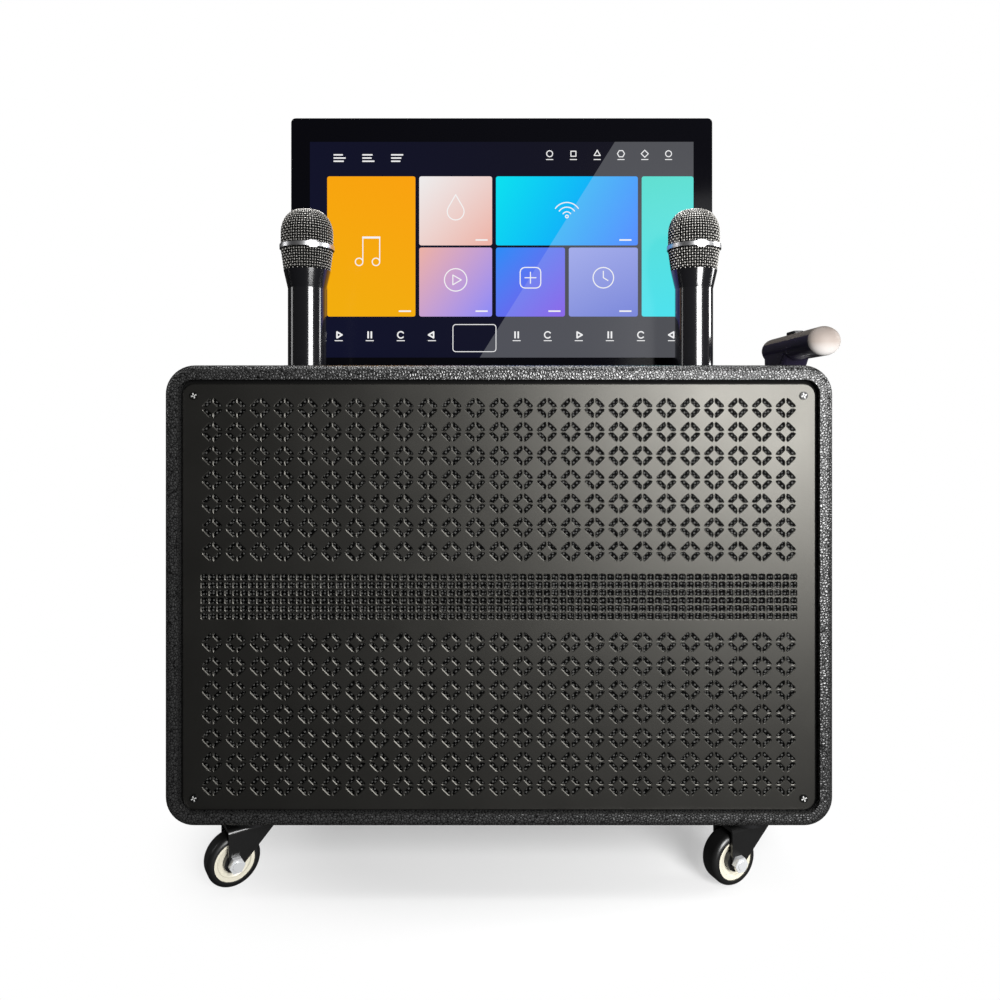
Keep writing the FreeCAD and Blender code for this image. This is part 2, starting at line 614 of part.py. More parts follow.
def power_rocker():
    """A two-position rocker on a cross pin, its face a shallow V."""
    rocker = doc.addObject("PartDesign::Body", "rocker")
    sketch = sketch_on(rocker, "XY_Plane", "rocker_profile")
    half, lean = d.rocker_length / 2, d.rocker_rise / 2
    sunk = d.rocker_depth / 2
    outline(sketch, [
        (-half, d.rocker_rise + sunk), (-half + d.rocker_pin, 0), (0, -sunk), (half - d.rocker_pin, 0),
        (half, d.rocker_rise + sunk), (0, lean + sunk)])
    pad = rocker.newObject("PartDesign::Pad", "rocker_pad")
    pad.Profile = sketch
    pad.SideType = "Symmetric"
    bind(pad, Length=d.rocker_width)
    doc.recompute()
    pin_way = {"Radius": d.rocker_pin + d.shaft_fit, "Height": d.rocker_width + d.overrun * 2}
    through(rocker, "Cylinder", pin_way, 0, 0, -d.rocker_width / 2 - d.overrun)
    place(rocker, rocker_spot[0], tray_face - sunk, rocker_spot[1], Rotation(Z_AXIS, -d.rocker_lean.value))
    node(rocker, "power_rocker")
    cradle_depth = d.rocker_depth + d.rocker_rise
    cradle_y = tray_face - d.tray_sheet - cradle_depth / 2
    room_low = rocker_spot[1] - rocker_room_wide / 2
    case = block("cradle_case", rocker_room_long + d.tray_sheet * 2, cradle_depth,
                 rocker_room_wide + d.tray_sheet * 2, rocker_spot[0], cradle_y, room_low - d.tray_sheet)
    well = block("cradle_well", rocker_room_long, cradle_depth, rocker_room_wide, rocker_spot[0],
                 cradle_y + d.tray_sheet, room_low)
    pin = rod("cradle_pin", d.rocker_pin, rocker_room_wide + d.tray_sheet, rocker_spot[0],
              tray_face - d.rocker_depth / 2, room_low - d.tray_sheet / 2)
    node(joined("switch_cradle", [cut("cradle_box", case, [well]), pin]), "switch_cradle")


def mains_inlet():
    """A three-pin inlet: a rim outside the tray, a well and its pins."""
    x, z = inlet_spot
    rim_deep = d.tray_sheet * 2
    rim_tall = d.inlet_height + d.inlet_rim * 2
    rim = block("inlet_rim_plate", d.inlet_width + d.inlet_rim * 2, rim_deep, rim_tall, x,
                tray_face + rim_deep / 2, z - rim_tall / 2)
    barrel = block("inlet_barrel", d.inlet_width - d.board_fit * 2, d.inlet_depth,
                   d.inlet_height - d.board_fit * 2, x, tray_face - d.inlet_depth / 2,
                   z - d.inlet_height / 2 + d.board_fit)
    well_start = tray_face + rim_deep - d.inlet_well
    well_deep = d.inlet_well + d.overrun
    well_tall = d.inlet_height - d.inlet_rim
    well = block("inlet_mouth", d.inlet_width - d.inlet_rim, well_deep, well_tall, x,
                 well_start + well_deep / 2, z - well_tall / 2)
    pin_long = d.inlet_well - d.pin_rise + d.overrun
    pins = []
    for i, (across_share, up_share) in enumerate(INLET_PIN_SHARES):
        pins.append(rod(f"inlet_pin_{i}", d.pin_radius, pin_long, x + d.pin_spacing * across_share,
                        well_start - d.overrun, z + d.pin_rise * up_share, "y"))
    hollow = cut("inlet_hollow", joined("inlet_body", [rim, barrel]), [well])
    node(joined("mains_inlet", [hollow] + pins), "mains_inlet")


def rear_sockets():
    """Microphone jacks with round nuts, and small line sockets."""
    sockets = []
    behind = tray_face - d.tray_sheet
    for i, (x, z) in enumerate(jack_spots):
        nut = rod(f"jack_nut_{i}", d.jack_nut, d.jack_nut_rise, x, tray_face, z, "y")
        stem = rod(f"jack_stem_{i}", d.jack_nut - d.overrun - d.board_fit, d.tray_sheet, x, behind, z, "y")
        rear = rod(f"jack_rear_{i}", d.jack_body, d.jack_depth, x, behind - d.jack_depth, z, "y")
        bore = rod(f"jack_hole_{i}", d.jack_bore, d.jack_depth + d.tray_sheet + d.jack_nut_rise, x,
                   behind - d.jack_depth + d.tray_sheet, z, "y")
        sockets.append(cut(f"jack_{i}", joined(f"jack_solid_{i}", [nut, stem, rear]), [bore]))
    for i, (x, z) in enumerate(line_spots):
        barrel = rod(f"line_barrel_{i}", d.line_rim - d.overrun - d.board_fit, d.line_rise + d.tray_sheet, x,
                     behind, z, "y")
        rear = rod(f"line_rear_{i}", d.line_rim + d.overrun, d.line_depth, x, behind - d.line_depth, z, "y")
        bore = rod(f"line_hole_{i}", d.line_bore, d.line_rise + d.line_depth, x, behind, z, "y")
        sockets.append(cut(f"line_{i}", joined(f"line_solid_{i}", [barrel, rear]), [bore]))
    node(group("rear_sockets", sockets), "rear_sockets")


def amplifier_board():
    """The power amplifier on the tray's back, with a finned heat sink."""
    base_z = tray_z + d.tray_height / 2 + d.board_foot
    plate = block("amp_plate", d.amp_width, d.board_thick, d.amp_height, 0, rear_inner - d.board_thick / 2,
                  base_z)
    fins = [plate]
    count = int(d.fin_count.value)
    for i in range(count):
        x = d.sink_pitch * (i - (count - 1) / 2)
        fins.append(block(f"amp_fin_{i}", d.sink_fin, d.sink_rise, d.amp_height - d.board_foot * 2, x,
                          rear_inner - d.board_thick - d.sink_rise / 2, base_z + d.board_foot))
    for i, share in enumerate(AMP_CAN_SHARES):
        fins.append(rod(f"amp_can_{i}", d.board_part / 2, d.board_part, d.amp_width * share,
                        rear_inner - d.board_thick - d.board_part, base_z + d.amp_height / 2, "y"))
    node(joined("amplifier_board", fins), "amplifier_board")


def boards_inside():
    """Player board, hard disk, power supply and battery on the box's floor."""
    rear_room = rear_inner - d.player_depth / 2 - d.board_foot
    plate = block("player_plate", d.player_width, d.player_depth, d.board_thick, d.player_side, rear_room,
                  floor_inside + d.board_foot)
    parts = [plate]
    for sx in SIDES:
        for sy in SIDES:
            parts.append(rod(f"player_foot_{sx + 1}_{sy + 1}", d.screw_head, d.board_foot,
                             d.player_side + (d.player_width / 2 - d.board_foot) * sx,
                             rear_room + (d.player_depth / 2 - d.board_foot) * sy, floor_inside))
    parts.append(block("player_chip", d.player_depth / 2, d.player_depth / 2, d.board_part / 2, d.player_side,
                       rear_room, floor_inside + d.board_foot + d.board_thick))
    node(joined("player_board", parts), "player_board")
    disk = block("disk_case", d.disk_length, d.disk_thick, d.disk_width, -d.disk_side,
                 rear_inner - d.disk_thick / 2 - d.board_foot, floor_inside)
    feet = block("disk_feet", d.disk_length, d.board_foot, d.board_part, -d.disk_side,
                 rear_inner - d.board_foot / 2, floor_inside + d.disk_width / 2)
    node(joined("hard_disk", [disk, feet]), "hard_disk")
    supply_y = board_back + d.supply_depth / 2 + d.board_foot
    case = block("supply_case", d.supply_width, d.supply_depth, d.supply_height, -d.supply_side, supply_y,
                 floor_inside)
    slots = [block(f"supply_slot_{i}", d.supply_width / 2, d.supply_depth + d.overrun * 2, d.sink_fin,
                   -d.supply_side, supply_y, floor_inside + d.supply_height * share)
             for i, share in enumerate(SUPPLY_SLOT_SHARES)]
    node(cut("power_supply", case, slots), "power_supply")
    battery_y = board_back + d.battery_depth / 2 + d.board_foot
    battery = slab("battery", d.battery_width, d.battery_height, d.battery_depth)
    rounded(battery, d.battery_edge, runs_along(Y_AXIS))
    place(battery, d.battery_side, battery_y, floor_inside + d.battery_height / 2)
    node(battery, "battery_pack")


def screws():
    """Panel screws: pan heads on the grille, the rear panel and the handle's brackets."""
    solids = []
    reach = d.screw_length - d.overrun * 2

    def screw(name, x, y, z, way):
        head_start = y - d.screw_head_rise if way > 0 else y
        shank_start = y if way > 0 else y - reach
        head = rod(name + "_head", d.screw_head, d.screw_head_rise, x, head_start, z, "y")
        shank = rod(name + "_shank", d.screw_shank, reach, x, shank_start, z, "y")
        return joined(name, [head, shank])

    for i, (x, z) in enumerate(corner_spots(grille_screw_x, grille_screw_z, grille_z)):
        solids.append(screw(f"grille_screw_{i}", x, grille_front, z, 1))
    for i, (x, z) in enumerate(rear_screws):
        solids.append(screw(f"rear_screw_{i}", x, rear_outer, z, -1))
    ear_reach = d.tube_radius + d.bracket_wall + d.ear_length / 2
    for i, low in enumerate((outer_low, outer_high - d.bracket_height)):
        for hand in SIDES:
            solids.append(rod(f"ear_screw_{i}_{hand + 1}", d.screw_head, d.screw_head_rise,
                              side + d.ear_thick, pole_y + ear_reach * hand, low + d.bracket_height / 2, "x"))
    node(group("panel_screws", solids), "panel_screws")


def mic_cups():
    cups = []
    depth = d.mic_sink + d.cup_floor
    inner = cup_radius - d.cup_wall
    outer = cup_radius - d.board_fit
    brim_radius = cup_radius + d.cup_flange
    for hand in SIDES:
        cup = turned(f"cup_{hand + 1}", [
            (0, -depth), (outer, -depth), (outer, 0), (brim_radius, 0), (brim_radius, d.cup_flange_rise),
            (inner, d.cup_flange_rise), (inner, -d.mic_sink), (0, -d.mic_sink)])
        brim = lies_at(Z_AXIS, d.cup_flange_rise)
        rounded(cup, d.cup_flange_rise / 2, brim)
        cups.append(place(cup, d.mic_spread * hand, mic_y, top))
    node(group("mic_cups", cups), "mic_cups")


def microphones():
    """Two hand microphones, each a handle, a wire head, a bright band and a slide switch."""
    for hand, name in zip(SIDES, ("left", "right")):
        x = d.mic_spread * hand
        mic_handle(name, x)
        mic_head(name, x)
        mic_band(name, x)
        mic_switch(name, x)


mic_foot = top - d.mic_sink
mic_length = d.mic_rise + d.mic_sink
mic_neck = mic_length - d.head_drop


def mic_handle(name, x):
    """A tapered handle with a socket for the head and a pocket for the switch."""
    mouth = d.neck_radius - d.head_wall * 2
    handle = turned(f"{name}_mic_body", [
        (0, 0), (d.mic_tail, 0), (d.mic_radius, d.mic_tail_run), (d.mic_radius, mic_neck - d.neck_run),
        (d.neck_radius, mic_neck), (mouth, mic_neck), (mouth, mic_neck + d.head_seat),
        (d.mic_cavity, mic_neck + d.head_seat), (d.mic_cavity, mic_neck + d.mic_cavity),
        (0, mic_neck + d.mic_cavity)])
    foot = lies_at(Z_AXIS, sized(0))
    rounded(handle, d.mic_edge, lambda edge: foot(edge) and len(edge.Vertexes) == 1)
    pocket_long = d.switch_length + d.switch_travel + d.switch_fit * 2
    pocket = {"Length": d.switch_width + d.switch_fit * 2, "Width": d.mic_radius, "Height": pocket_long}
    through(handle, "Box", pocket, -d.switch_width / 2 - d.switch_fit, d.mic_radius - d.switch_depth,
            mic_length - d.switch_drop - d.switch_fit)
    node(place(handle, x, mic_y, mic_foot), f"{name}_mic_handle")


def mic_head(name, x):
    """A thin domed head that widens from the neck to the band."""
    widest = mic_length - d.band_drop
    outer = turned(f"{name}_head_outer", [
        (0, mic_neck), (d.neck_radius, mic_neck), (d.head_radius, widest), (d.head_radius, mic_length),
        (0, mic_length)])
    rounded(outer, d.head_dome, lies_at(Z_AXIS, mic_length))
    mouth = d.neck_radius - d.head_wall
    room = d.head_radius - d.head_wall
    crown = mic_length - d.head_wall
    inner = turned(f"{name}_head_inner", [
        (0, mic_neck - d.overrun), (mouth, mic_neck - d.overrun), (mouth, mic_neck + d.overrun),
        (room, widest), (room, crown), (0, crown)])
    rounded(inner, d.head_dome - d.head_wall, lies_at(Z_AXIS, crown))
    place(outer, x, mic_y, mic_foot)
    place(inner, x, mic_y, mic_foot)
    node(cut(f"{name}_mic_grille", outer, [inner]), f"{name}_mic_grille")


def mic_band(name, x):
    low = mic_length - d.band_drop
    high = low + d.band_height
    bore = d.head_radius + d.band_fit
    band = turned(f"{name}_band", [(bore, low), (d.band_radius, low), (d.band_radius, high), (bore, high)])
    rounded(band, d.band_edge, wider_than(bore))
    node(place(band, x, mic_y, mic_foot), f"{name}_mic_band")


def mic_switch(name, x):
    """A ribbed slider in the pocket behind the handle."""
    pocket_y = mic_y + d.mic_radius - d.switch_depth + d.switch_fit
    deep = d.switch_depth + d.switch_rise
    low = mic_foot + mic_length - d.switch_drop
    slider = block(f"{name}_slider", d.switch_width, deep, d.switch_length, x, pocket_y + deep / 2, low)
    ribs = [block(f"{name}_rib_{i}", d.switch_width + d.overrun * 2, d.switch_rise, d.switch_rise / 2, x,
                  pocket_y + deep, low + d.switch_length * share)
            for i, share in enumerate(SWITCH_RIB_SHARES)]
    node(cut(f"{name}_mic_switch", slider, ribs), f"{name}_mic_switch")


screen_mid = screen_top - d.screen_height / 2
housing_front = d.screen_back + d.glass_thick
carriage_low = screen_foot - d.carriage_down
shoe_reach = d.screen_width / 2 + d.shoe_side


def lift_screen():
    """A glass-fronted screen in a moulded back, with its display module."""
    glass = slab("glass", d.screen_width, d.screen_height, d.glass_thick)
    rounded(glass, d.glass_corner, runs_along(Y_AXIS))
    node(place(glass, 0, d.screen_back + d.glass_thick / 2, screen_mid), "screen_glass")
    housing = slab("housing", d.screen_width - d.housing_rim * 2, d.screen_height - d.housing_rim * 2,
                   d.housing_depth)
    rounded(housing, d.glass_corner, runs_along(Y_AXIS))
    rounded(housing, d.housing_edge, lies_at(Y_AXIS, d.housing_depth / 2))
    place(housing, 0, housing_front + d.housing_depth / 2, screen_mid)
    room_wide = d.screen_width - (d.housing_rim + d.housing_wall) * 2
    room_tall = d.screen_height - (d.housing_rim + d.housing_wall) * 2
    room_deep = d.housing_depth - d.housing_wall
    room = block("housing_room", room_wide, room_deep + d.overrun, room_tall, 0,
                 housing_front + (room_deep - d.overrun) / 2, screen_mid - room_tall / 2)
    node(cut("screen_housing", housing, [room]), "screen_housing")
    panel_tall = room_tall - d.board_fit * 2
    panel = block("display_panel", room_wide - d.board_fit * 2, d.panel_thick, panel_tall, 0,
                  housing_front + d.panel_thick / 2, screen_mid - panel_tall / 2)
    node(panel, "display_panel")


def screen_carriage():
    """A plate behind the screen with a shoe at each side."""
    plate_wide = d.screen_width - d.housing_edge * 2 - d.housing_rim * 2
    plate_tall = d.carriage_up + d.carriage_down
    plate = block("carriage_plate", plate_wide, d.carriage_thick, plate_tall, 0, carriage_y, carriage_low)
    opening = block("carriage_hole", plate_wide / 2, d.carriage_thick + d.overrun * 2, d.carriage_window, 0,
                    carriage_y, carriage_low + d.carriage_sill)
    shoe_wide = shoe_reach - plate_wide / 2 + d.overrun
    shoes = [block(f"carriage_shoe_{hand + 1}", shoe_wide, d.shoe_width, d.shoe_length,
                   (shoe_reach - shoe_wide / 2) * hand, carriage_y, carriage_low) for hand in SIDES]
    node(joined("screen_carriage", [cut("carriage_frame", plate, [opening])] + shoes), "screen_carriage")


def screen_rails():
    """Two upright channels that the shoes run in."""
    tall = ceiling - floor_inside
    start_x = d.screen_width / 2 + d.rail_wall
    wide = shoe_reach + d.rail_fit + d.rail_wall - start_x
    way_wide = wide - d.rail_wall + d.overrun
    way_deep = d.shoe_width + d.rail_fit * 2
    rails = []
    for hand in SIDES:
        bar = block(f"rail_bar_{hand + 1}", wide, way_deep + d.rail_wall * 2, tall,
                    (start_x + wide / 2) * hand, carriage_y, floor_inside)
        way = block(f"rail_way_{hand + 1}", way_wide, way_deep, tall + d.overrun * 2,
                    (start_x - d.overrun + way_wide / 2) * hand, carriage_y, floor_inside - d.overrun)
        rails.append(cut(f"rail_{hand + 1}", bar, [way]))
    node(group("screen_rails", rails), "screen_rails")


def slot_trim():
    """A frame on the box's top that lines the screen's slot."""
    lip = d.slot_play - d.trim_lip
    frame_wide = slot_width + d.trim_width * 2
    frame = slab("trim", frame_wide, slot_depth + d.trim_width * 2, d.trim_rise, "XY_Plane")
    rounded(frame, d.trim_width, runs_along(Z_AXIS))
    place(frame, 0, slot_y, top + d.trim_rise / 2)
    collar = block("trim_collar", slot_width - d.board_fit * 2, slot_depth - d.board_fit * 2, d.wall, 0,
                   slot_y, ceiling)
    mouth = block("trim_mouth", slot_width - lip * 2, slot_depth - lip * 2,
                  d.wall + d.trim_rise + d.overrun * 2, 0, slot_y, ceiling - d.overrun)
    node(cut("slot_trim", joined("trim_solid", [frame, collar]), [mouth]), "slot_trim")


inner_tube_top = grip_z - d.neck_drop + d.socket_depth


def tube(name, radius, low, high):
    """A plain tube on the handle's axis."""
    bore = radius - d.tube_wall
    body = turned(name, [(bore, low), (radius, low), (radius, high), (bore, high)])
    return place(body, handle_x, pole_y, 0)


def pull_handle():
    """Three telescopic tubes on the right side; the middle one stops on its collar."""
    node(tube("outer_tube", d.tube_radius, outer_low, outer_high), "handle_outer_tube")
    foot = outer_low + d.stage_step
    bore = middle_radius - d.tube_wall
    collar_low = outer_high + d.collar_gap
    collar_high = collar_low + d.collar_rise
    middle_tube = turned("middle_tube", [
        (bore, foot), (middle_radius, foot), (middle_radius, collar_low), (d.collar_radius, collar_low),
        (d.collar_radius, collar_high), (bore, collar_high)])
    node(place(middle_tube, handle_x, pole_y, 0), "handle_middle_tube")
    node(tube("inner_tube", inner_radius, foot + d.stage_step, inner_tube_top), "handle_inner_tube")


def handle_brackets():
    """Two clamps that hold the outer tube to the box's side."""
    brackets = []
    ring_radius = d.tube_radius + d.bracket_wall
    for i, low in enumerate((outer_low, outer_high - d.bracket_height)):
        clamp = block(f"clamp_{i}", d.handle_out, ring_radius * 2, d.bracket_height, side + d.handle_out / 2,
                      pole_y, low)
        ring = rod(f"clamp_ring_{i}", ring_radius, d.bracket_height, handle_x, pole_y, low)
        ears = block(f"clamp_ears_{i}", d.ear_thick, (ring_radius + d.ear_length) * 2, d.bracket_height,
                     side + d.ear_thick / 2, pole_y, low)
        cut_tall = d.bracket_height + d.overrun * 2
        hole = rod(f"clamp_hole_{i}", d.tube_radius, cut_tall, handle_x, pole_y, low - d.overrun)
        wall_side = block(f"clamp_back_{i}", d.wall, ring_radius * 2, cut_tall, side - d.wall / 2, pole_y,
                          low - d.overrun)
        solid = joined(f"bracket_body_{i}", [clamp, ring, ears])
        brackets.append(cut(f"bracket_{i}", solid, [hole, wall_side]))
    node(group("handle_brackets", brackets), "handle_brackets")


def oval_bar(name, half_wide, half_tall, length, x, y, z):
    """A bar of oval section lying along Y."""
    oval = doc.addObject("Part::Ellipse", name + "_oval")
    bind(oval, MajorRadius=half_wide, MinorRadius=half_tall)
    place(oval, x, y, z, Rotation(X_AXIS, 90))
    bar = doc.addObject("Part::Extrusion", name)
    bar.Base = oval
    bar.DirMode = "Custom"
    bar.Dir = Y_AXIS
    bar.Solid = True
    bind(bar, LengthFwd=length)
    return bar


def grip_neck():
    """The grip's neck, upright at its foot and flaring forward and back into the bar."""
    neck = doc.addObject("PartDesign::Body", "grip_neck")
    sketch = sketch_on(neck, "YZ_Plane", "neck_side")
    outline(sketch, [
        (-d.neck_front, 0), (d.neck_rear, 0), (d.neck_rear, d.neck_straight),
        (d.neck_rear + d.neck_flare_rear, d.neck_drop), (-d.neck_front - d.neck_flare_front, d.neck_drop),
        (-d.neck_front, d.neck_straight)])
    pad = neck.newObject("PartDesign::Pad", "neck_pad")
    pad.Profile = sketch
    pad.SideType = "Symmetric"
    bind(pad, Length=d.neck_half_width * 2)
    doc.recompute()
    rounded(neck, d.neck_round, lambda edge: abs(edge.Vertexes[0].Point.z - edge.Vertexes[-1].Point.z) > TINY)
    return place(neck, handle_x, pole_y, grip_z - d.neck_drop)


grip_crest = grip_z + d.grip_half_height
grip_rear = d.grip_length - d.grip_front


def handle_grip():
    """An oval bar on its neck, with a socket for the inner tube and a well for the button."""
    bar = oval_bar("grip_bar", d.grip_half_width, d.grip_half_height, d.grip_length, handle_x, -d.grip_front,
                   grip_z)
    socket = rod("grip_socket", inner_radius + d.socket_fit, d.socket_depth + d.overrun, handle_x, pole_y,
                 grip_z - d.neck_drop - d.overrun)
    well_deep = d.button_depth + d.button_travel + d.button_fit
    well = block("grip_button_well", d.button_width + d.button_fit * 2, d.button_length + d.button_fit * 2,
                 well_deep + d.overrun, handle_x, d.button_back, grip_crest - well_deep)
    node(cut("handle_grip", joined("grip_body", [bar, grip_neck()]), [socket, well]), "handle_grip")


def end_caps():
    """Domed caps on both ends of the bar."""
    caps = []
    for hand, end, bulge in ((-1, -d.grip_front, d.front_cap_bulge), (1, grip_rear, d.rear_cap_bulge)):
        egg = doc.addObject("Part::Ellipsoid", f"cap_egg_{hand + 1}")
        bind(egg, Radius1=d.grip_half_height, Radius2=d.grip_half_width, Radius3=bulge)
        place(egg, handle_x, end, grip_z)
        keep = block(f"cap_half_{hand + 1}", (d.grip_half_width + d.overrun) * 2, bulge + d.overrun,
                     (d.grip_half_height + d.overrun) * 2, handle_x, end + (bulge + d.overrun) / 2 * hand,
                     grip_z - d.grip_half_height - d.overrun)
        dome = doc.addObject("Part::Common", f"cap_{hand + 1}")
        dome.Base = egg
        dome.Tool = keep
        caps.append(dome)
    node(group("handle_end_caps", caps), "handle_end_caps")


def release_button():
    tall = d.button_rise + d.button_depth
    button = slab("button", d.button_width, d.button_length, tall, "XY_Plane")
    rounded(button, d.button_round, runs_along(Z_AXIS))
    rounded(button, d.button_round / 2, lies_at(Z_AXIS, tall / 2))
    place(button, handle_x, d.button_back, grip_crest + d.button_rise - tall / 2)
    node(button, "release_button")


CASTER_SPOTS = (
    ("front_left", -1, -1, d.left_turn), ("front_right", 1, -1, d.right_turn),
    ("rear_left", -1, 1, d.left_turn), ("rear_right", 1, 1, d.right_turn))
plate_low = d.ride_height - d.plate_thick
crown_low = d.wheel_radius * 2 + d.crown_clear
crown_top = crown_low + d.crown_thick
fork_inner = d.hub_width / 2 + d.fork_play
fork_outer = fork_inner + d.fork_sheet
hub_outer = d.wheel_radius - d.tyre_thick


def casters():
    """Four swivel casters: a fixed plate with its kingpin, a fork with its bolt, a hub and a tyre each."""
    plates, plate_screws = [], []
    for name, sx, sy, turn in CASTER_SPOTS:
        x, y = d.caster_spread * sx, d.caster_reach * sy
        heading = Rotation(Z_AXIS, turn.value)
        plates.append(caster_mount(name, x, y))
        plate_screws += mount_screws(name, x, y)
        caster_fork(name, x, y, heading)
        caster_wheel(name, x, y, heading)
    node(group("caster_plates", plates), "caster_plates")
    node(group("caster_screws", plate_screws), "caster_screws")


def caster_mount(name, x, y):
    """The plate, the upper race and the riveted kingpin, in one piece."""
    plate = slab(f"{name}_plate", d.plate_length, d.plate_width, d.plate_thick, "XY_Plane")
    rounded(plate, d.plate_corner, runs_along(Z_AXIS))
    place(plate, x, y, plate_low + d.plate_thick / 2)
    race_low = crown_top + d.race_gap
    pin_low = crown_low - d.race_gap
    race = rod(f"{name}_race", d.race_radius, plate_low - race_low, x, y, race_low)
    kingpin = rod(f"{name}_kingpin", d.kingpin_radius, race_low - pin_low, x, y, pin_low)
    rivet = rod(f"{name}_rivet", d.rivet_radius, d.rivet_thick, x, y, pin_low - d.rivet_thick)
    return joined(f"{name}_mount", [plate, race, kingpin, rivet])


def mount_screws(name, x, y):
    return [rod(f"{name}_screw_{px + 1}_{py + 1}", d.screw_head, d.screw_head_rise,
                x + d.plate_screw_long * px, y + d.plate_screw_wide * py, plate_low - d.screw_head_rise)
            for px in SIDES for py in SIDES]


def fork_sheet(name):
    """A pressed fork that trails its wheel, upright behind the axle and slanting in front of it."""
    body = doc.addObject("PartDesign::Body", name)
    sketch = sketch_on(body, "XZ_Plane", name + "_side")
    eye_x, eye_z, eye = -d.caster_trail, d.wheel_radius, d.fork_eye
    inset = eye * EYE_CORNER_SHARE
    outline(sketch, [
        (d.crown_front, crown_top), (d.crown_front, crown_low), (eye_x + eye, eye_z - inset),
        (eye_x + inset, eye_z - eye), (eye_x - inset, eye_z - eye), (eye_x - eye, eye_z - inset),
        (eye_x - eye, crown_top)])
    pad = body.newObject("PartDesign::Pad", name + "_pad")
    pad.Profile = sketch
    pad.SideType = "Symmetric"
    bind(pad, Length=fork_outer * 2)
    doc.recompute()
    along = runs_along(X_AXIS)
    crest = lies_at(Z_AXIS, crown_top)
    rounded(body, d.fork_bend, lambda edge: along(edge) and crest(edge))
    room = d.caster_trail + d.fork_eye + d.crown_front + d.overrun * 2
    gap = {"Length": room, "Width": fork_inner * 2, "Height": crown_low}
    through(body, "Box", gap, -d.caster_trail - d.fork_eye - d.overrun, -fork_inner, 0)
    doc.recompute()
    return body


def caster_fork(name, x, y, heading):
    """The fork and its axle bolt with a hexagon at each end: two solids in one node."""
    sheet_metal = place(fork_sheet(f"{name}_fork_sheet"), x, y, 0, heading)
    pin_hole = rod(f"{name}_pin_hole", d.kingpin_radius + d.kingpin_fit, d.crown_thick + d.overrun * 2, x, y,
                   crown_low - d.overrun)
    half = fork_outer + d.nut_thick
    hole_radius = d.axle_radius + d.axle_fit
    hole = turned(f"{name}_axle_hole", [(0, -half), (hole_radius, -half), (hole_radius, half), (0, half)])
    on_axle(hole, x, y, heading, 0)
    drilled = cut(f"{name}_fork_drilled", sheet_metal, [pin_hole, hole])
    end = half + d.bolt_end
    shank = turned(f"{name}_shank", [(0, -end), (d.axle_radius, -end), (d.axle_radius, end), (0, end)])
    bolt = [on_axle(shank, x, y, heading, 0)]
    for hand, low in ((-1, -half), (1, fork_outer)):
        nut = doc.addObject("Part::Prism", f"{name}_nut_{hand + 1}")
        nut.Polygon = 6
        bind(nut, Circumradius=d.nut_corner, Height=d.nut_thick)
        bolt.append(on_axle(nut, x, y, heading, low))
    node(group(f"{name}_fork", [drilled, joined(f"{name}_bolt", bolt)]), f"{name}_fork")


def caster_wheel(name, x, y, heading):
    """A dished hub with a bearing boss, and its tyre."""
    half, face, dish, web = d.hub_width / 2, d.hub_face / 2, d.hub_dish_width / 2, d.hub_web / 2
    rim = d.hub_dish + d.hub_lip
    side_points = [(d.hub_boss, half), (d.hub_boss, web), (d.hub_dish, dish), (rim, face), (hub_outer, face)]
    near = [(radius, -up) for radius, up in side_points]
    hub = turned(f"{name}_hub_body", [(d.hub_bore, -half)] + near + side_points[::-1] + [(d.hub_bore, half)])
    node(on_axle(hub, x, y, heading, 0), f"{name}_hub")
    edge = d.tyre_width / 2
    tyre = turned(f"{name}_tyre_body", [
        (hub_outer, -edge), (d.wheel_radius, -edge), (d.wheel_radius, edge), (hub_outer, edge)])
    rounded(tyre, d.tyre_round, wider_than(hub_outer))
    node(on_axle(tyre, x, y, heading, 0), f"{name}_tyre")


def on_axle(piece, x, y, heading, low):
    """Turn a piece's Z axis onto a caster's axle, starting at low along it."""
    across = heading.multVec(-Y_AXIS)
    trailing = heading.multVec(-X_AXIS)
    low = sized(low)
    spot_x = x + d.caster_trail * trailing.x + low * across.x
    spot_y = y + d.caster_trail * trailing.y + low * across.y
    return place(piece, spot_x, spot_y, d.wheel_radius, heading.multiply(Rotation(X_AXIS, 90)))


box_shell()
front_grille()
grille_cloth()
front_baffle()
woofers()
tweeters()
rear_panel()
control_tray()
potentiometers()
knobs()
power_rocker()
mains_inlet()
rear_sockets()
amplifier_board()
boards_inside()
screws()
mic_cups()
microphones()
lift_screen()
screen_carriage()
screen_rails()
slot_trim()
pull_handle()
handle_brackets()
handle_grip()
end_caps()
release_button()
casters()
doc.recompute()

for obj in doc.Objects:
    if "Invalid" in obj.State or "Error" in obj.State:
        raise RuntimeError(f"{obj.Label} failed: {obj.State}")
for part in nodes:
    if part.Shape.isNull() or not part.Shape.isValid():
        raise RuntimeError(f"{part.Label} has no valid shape")
    print(part.Label, len(part.Shape.Solids), round(part.Shape.Volume, 1))

os.makedirs("parts", exist_ok=True)
for part in nodes:
    part.Shape.exportStep(f"parts/{part.Label}.step")
print(len(nodes), "nodes")
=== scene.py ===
import json
import math

import bmesh
import bpy
from mathutils import Matrix, Vector


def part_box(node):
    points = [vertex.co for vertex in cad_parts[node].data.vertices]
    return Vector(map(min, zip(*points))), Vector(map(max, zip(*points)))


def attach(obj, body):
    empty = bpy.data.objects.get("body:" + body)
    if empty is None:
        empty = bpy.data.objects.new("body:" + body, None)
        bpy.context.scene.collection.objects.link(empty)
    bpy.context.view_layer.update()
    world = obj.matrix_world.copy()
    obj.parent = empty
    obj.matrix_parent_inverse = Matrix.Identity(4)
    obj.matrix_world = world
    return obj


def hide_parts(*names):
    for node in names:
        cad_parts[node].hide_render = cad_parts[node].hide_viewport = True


# Looks of the trolley karaoke machine. Metres; X right, Y to the back, Z up; the floor is at zero.

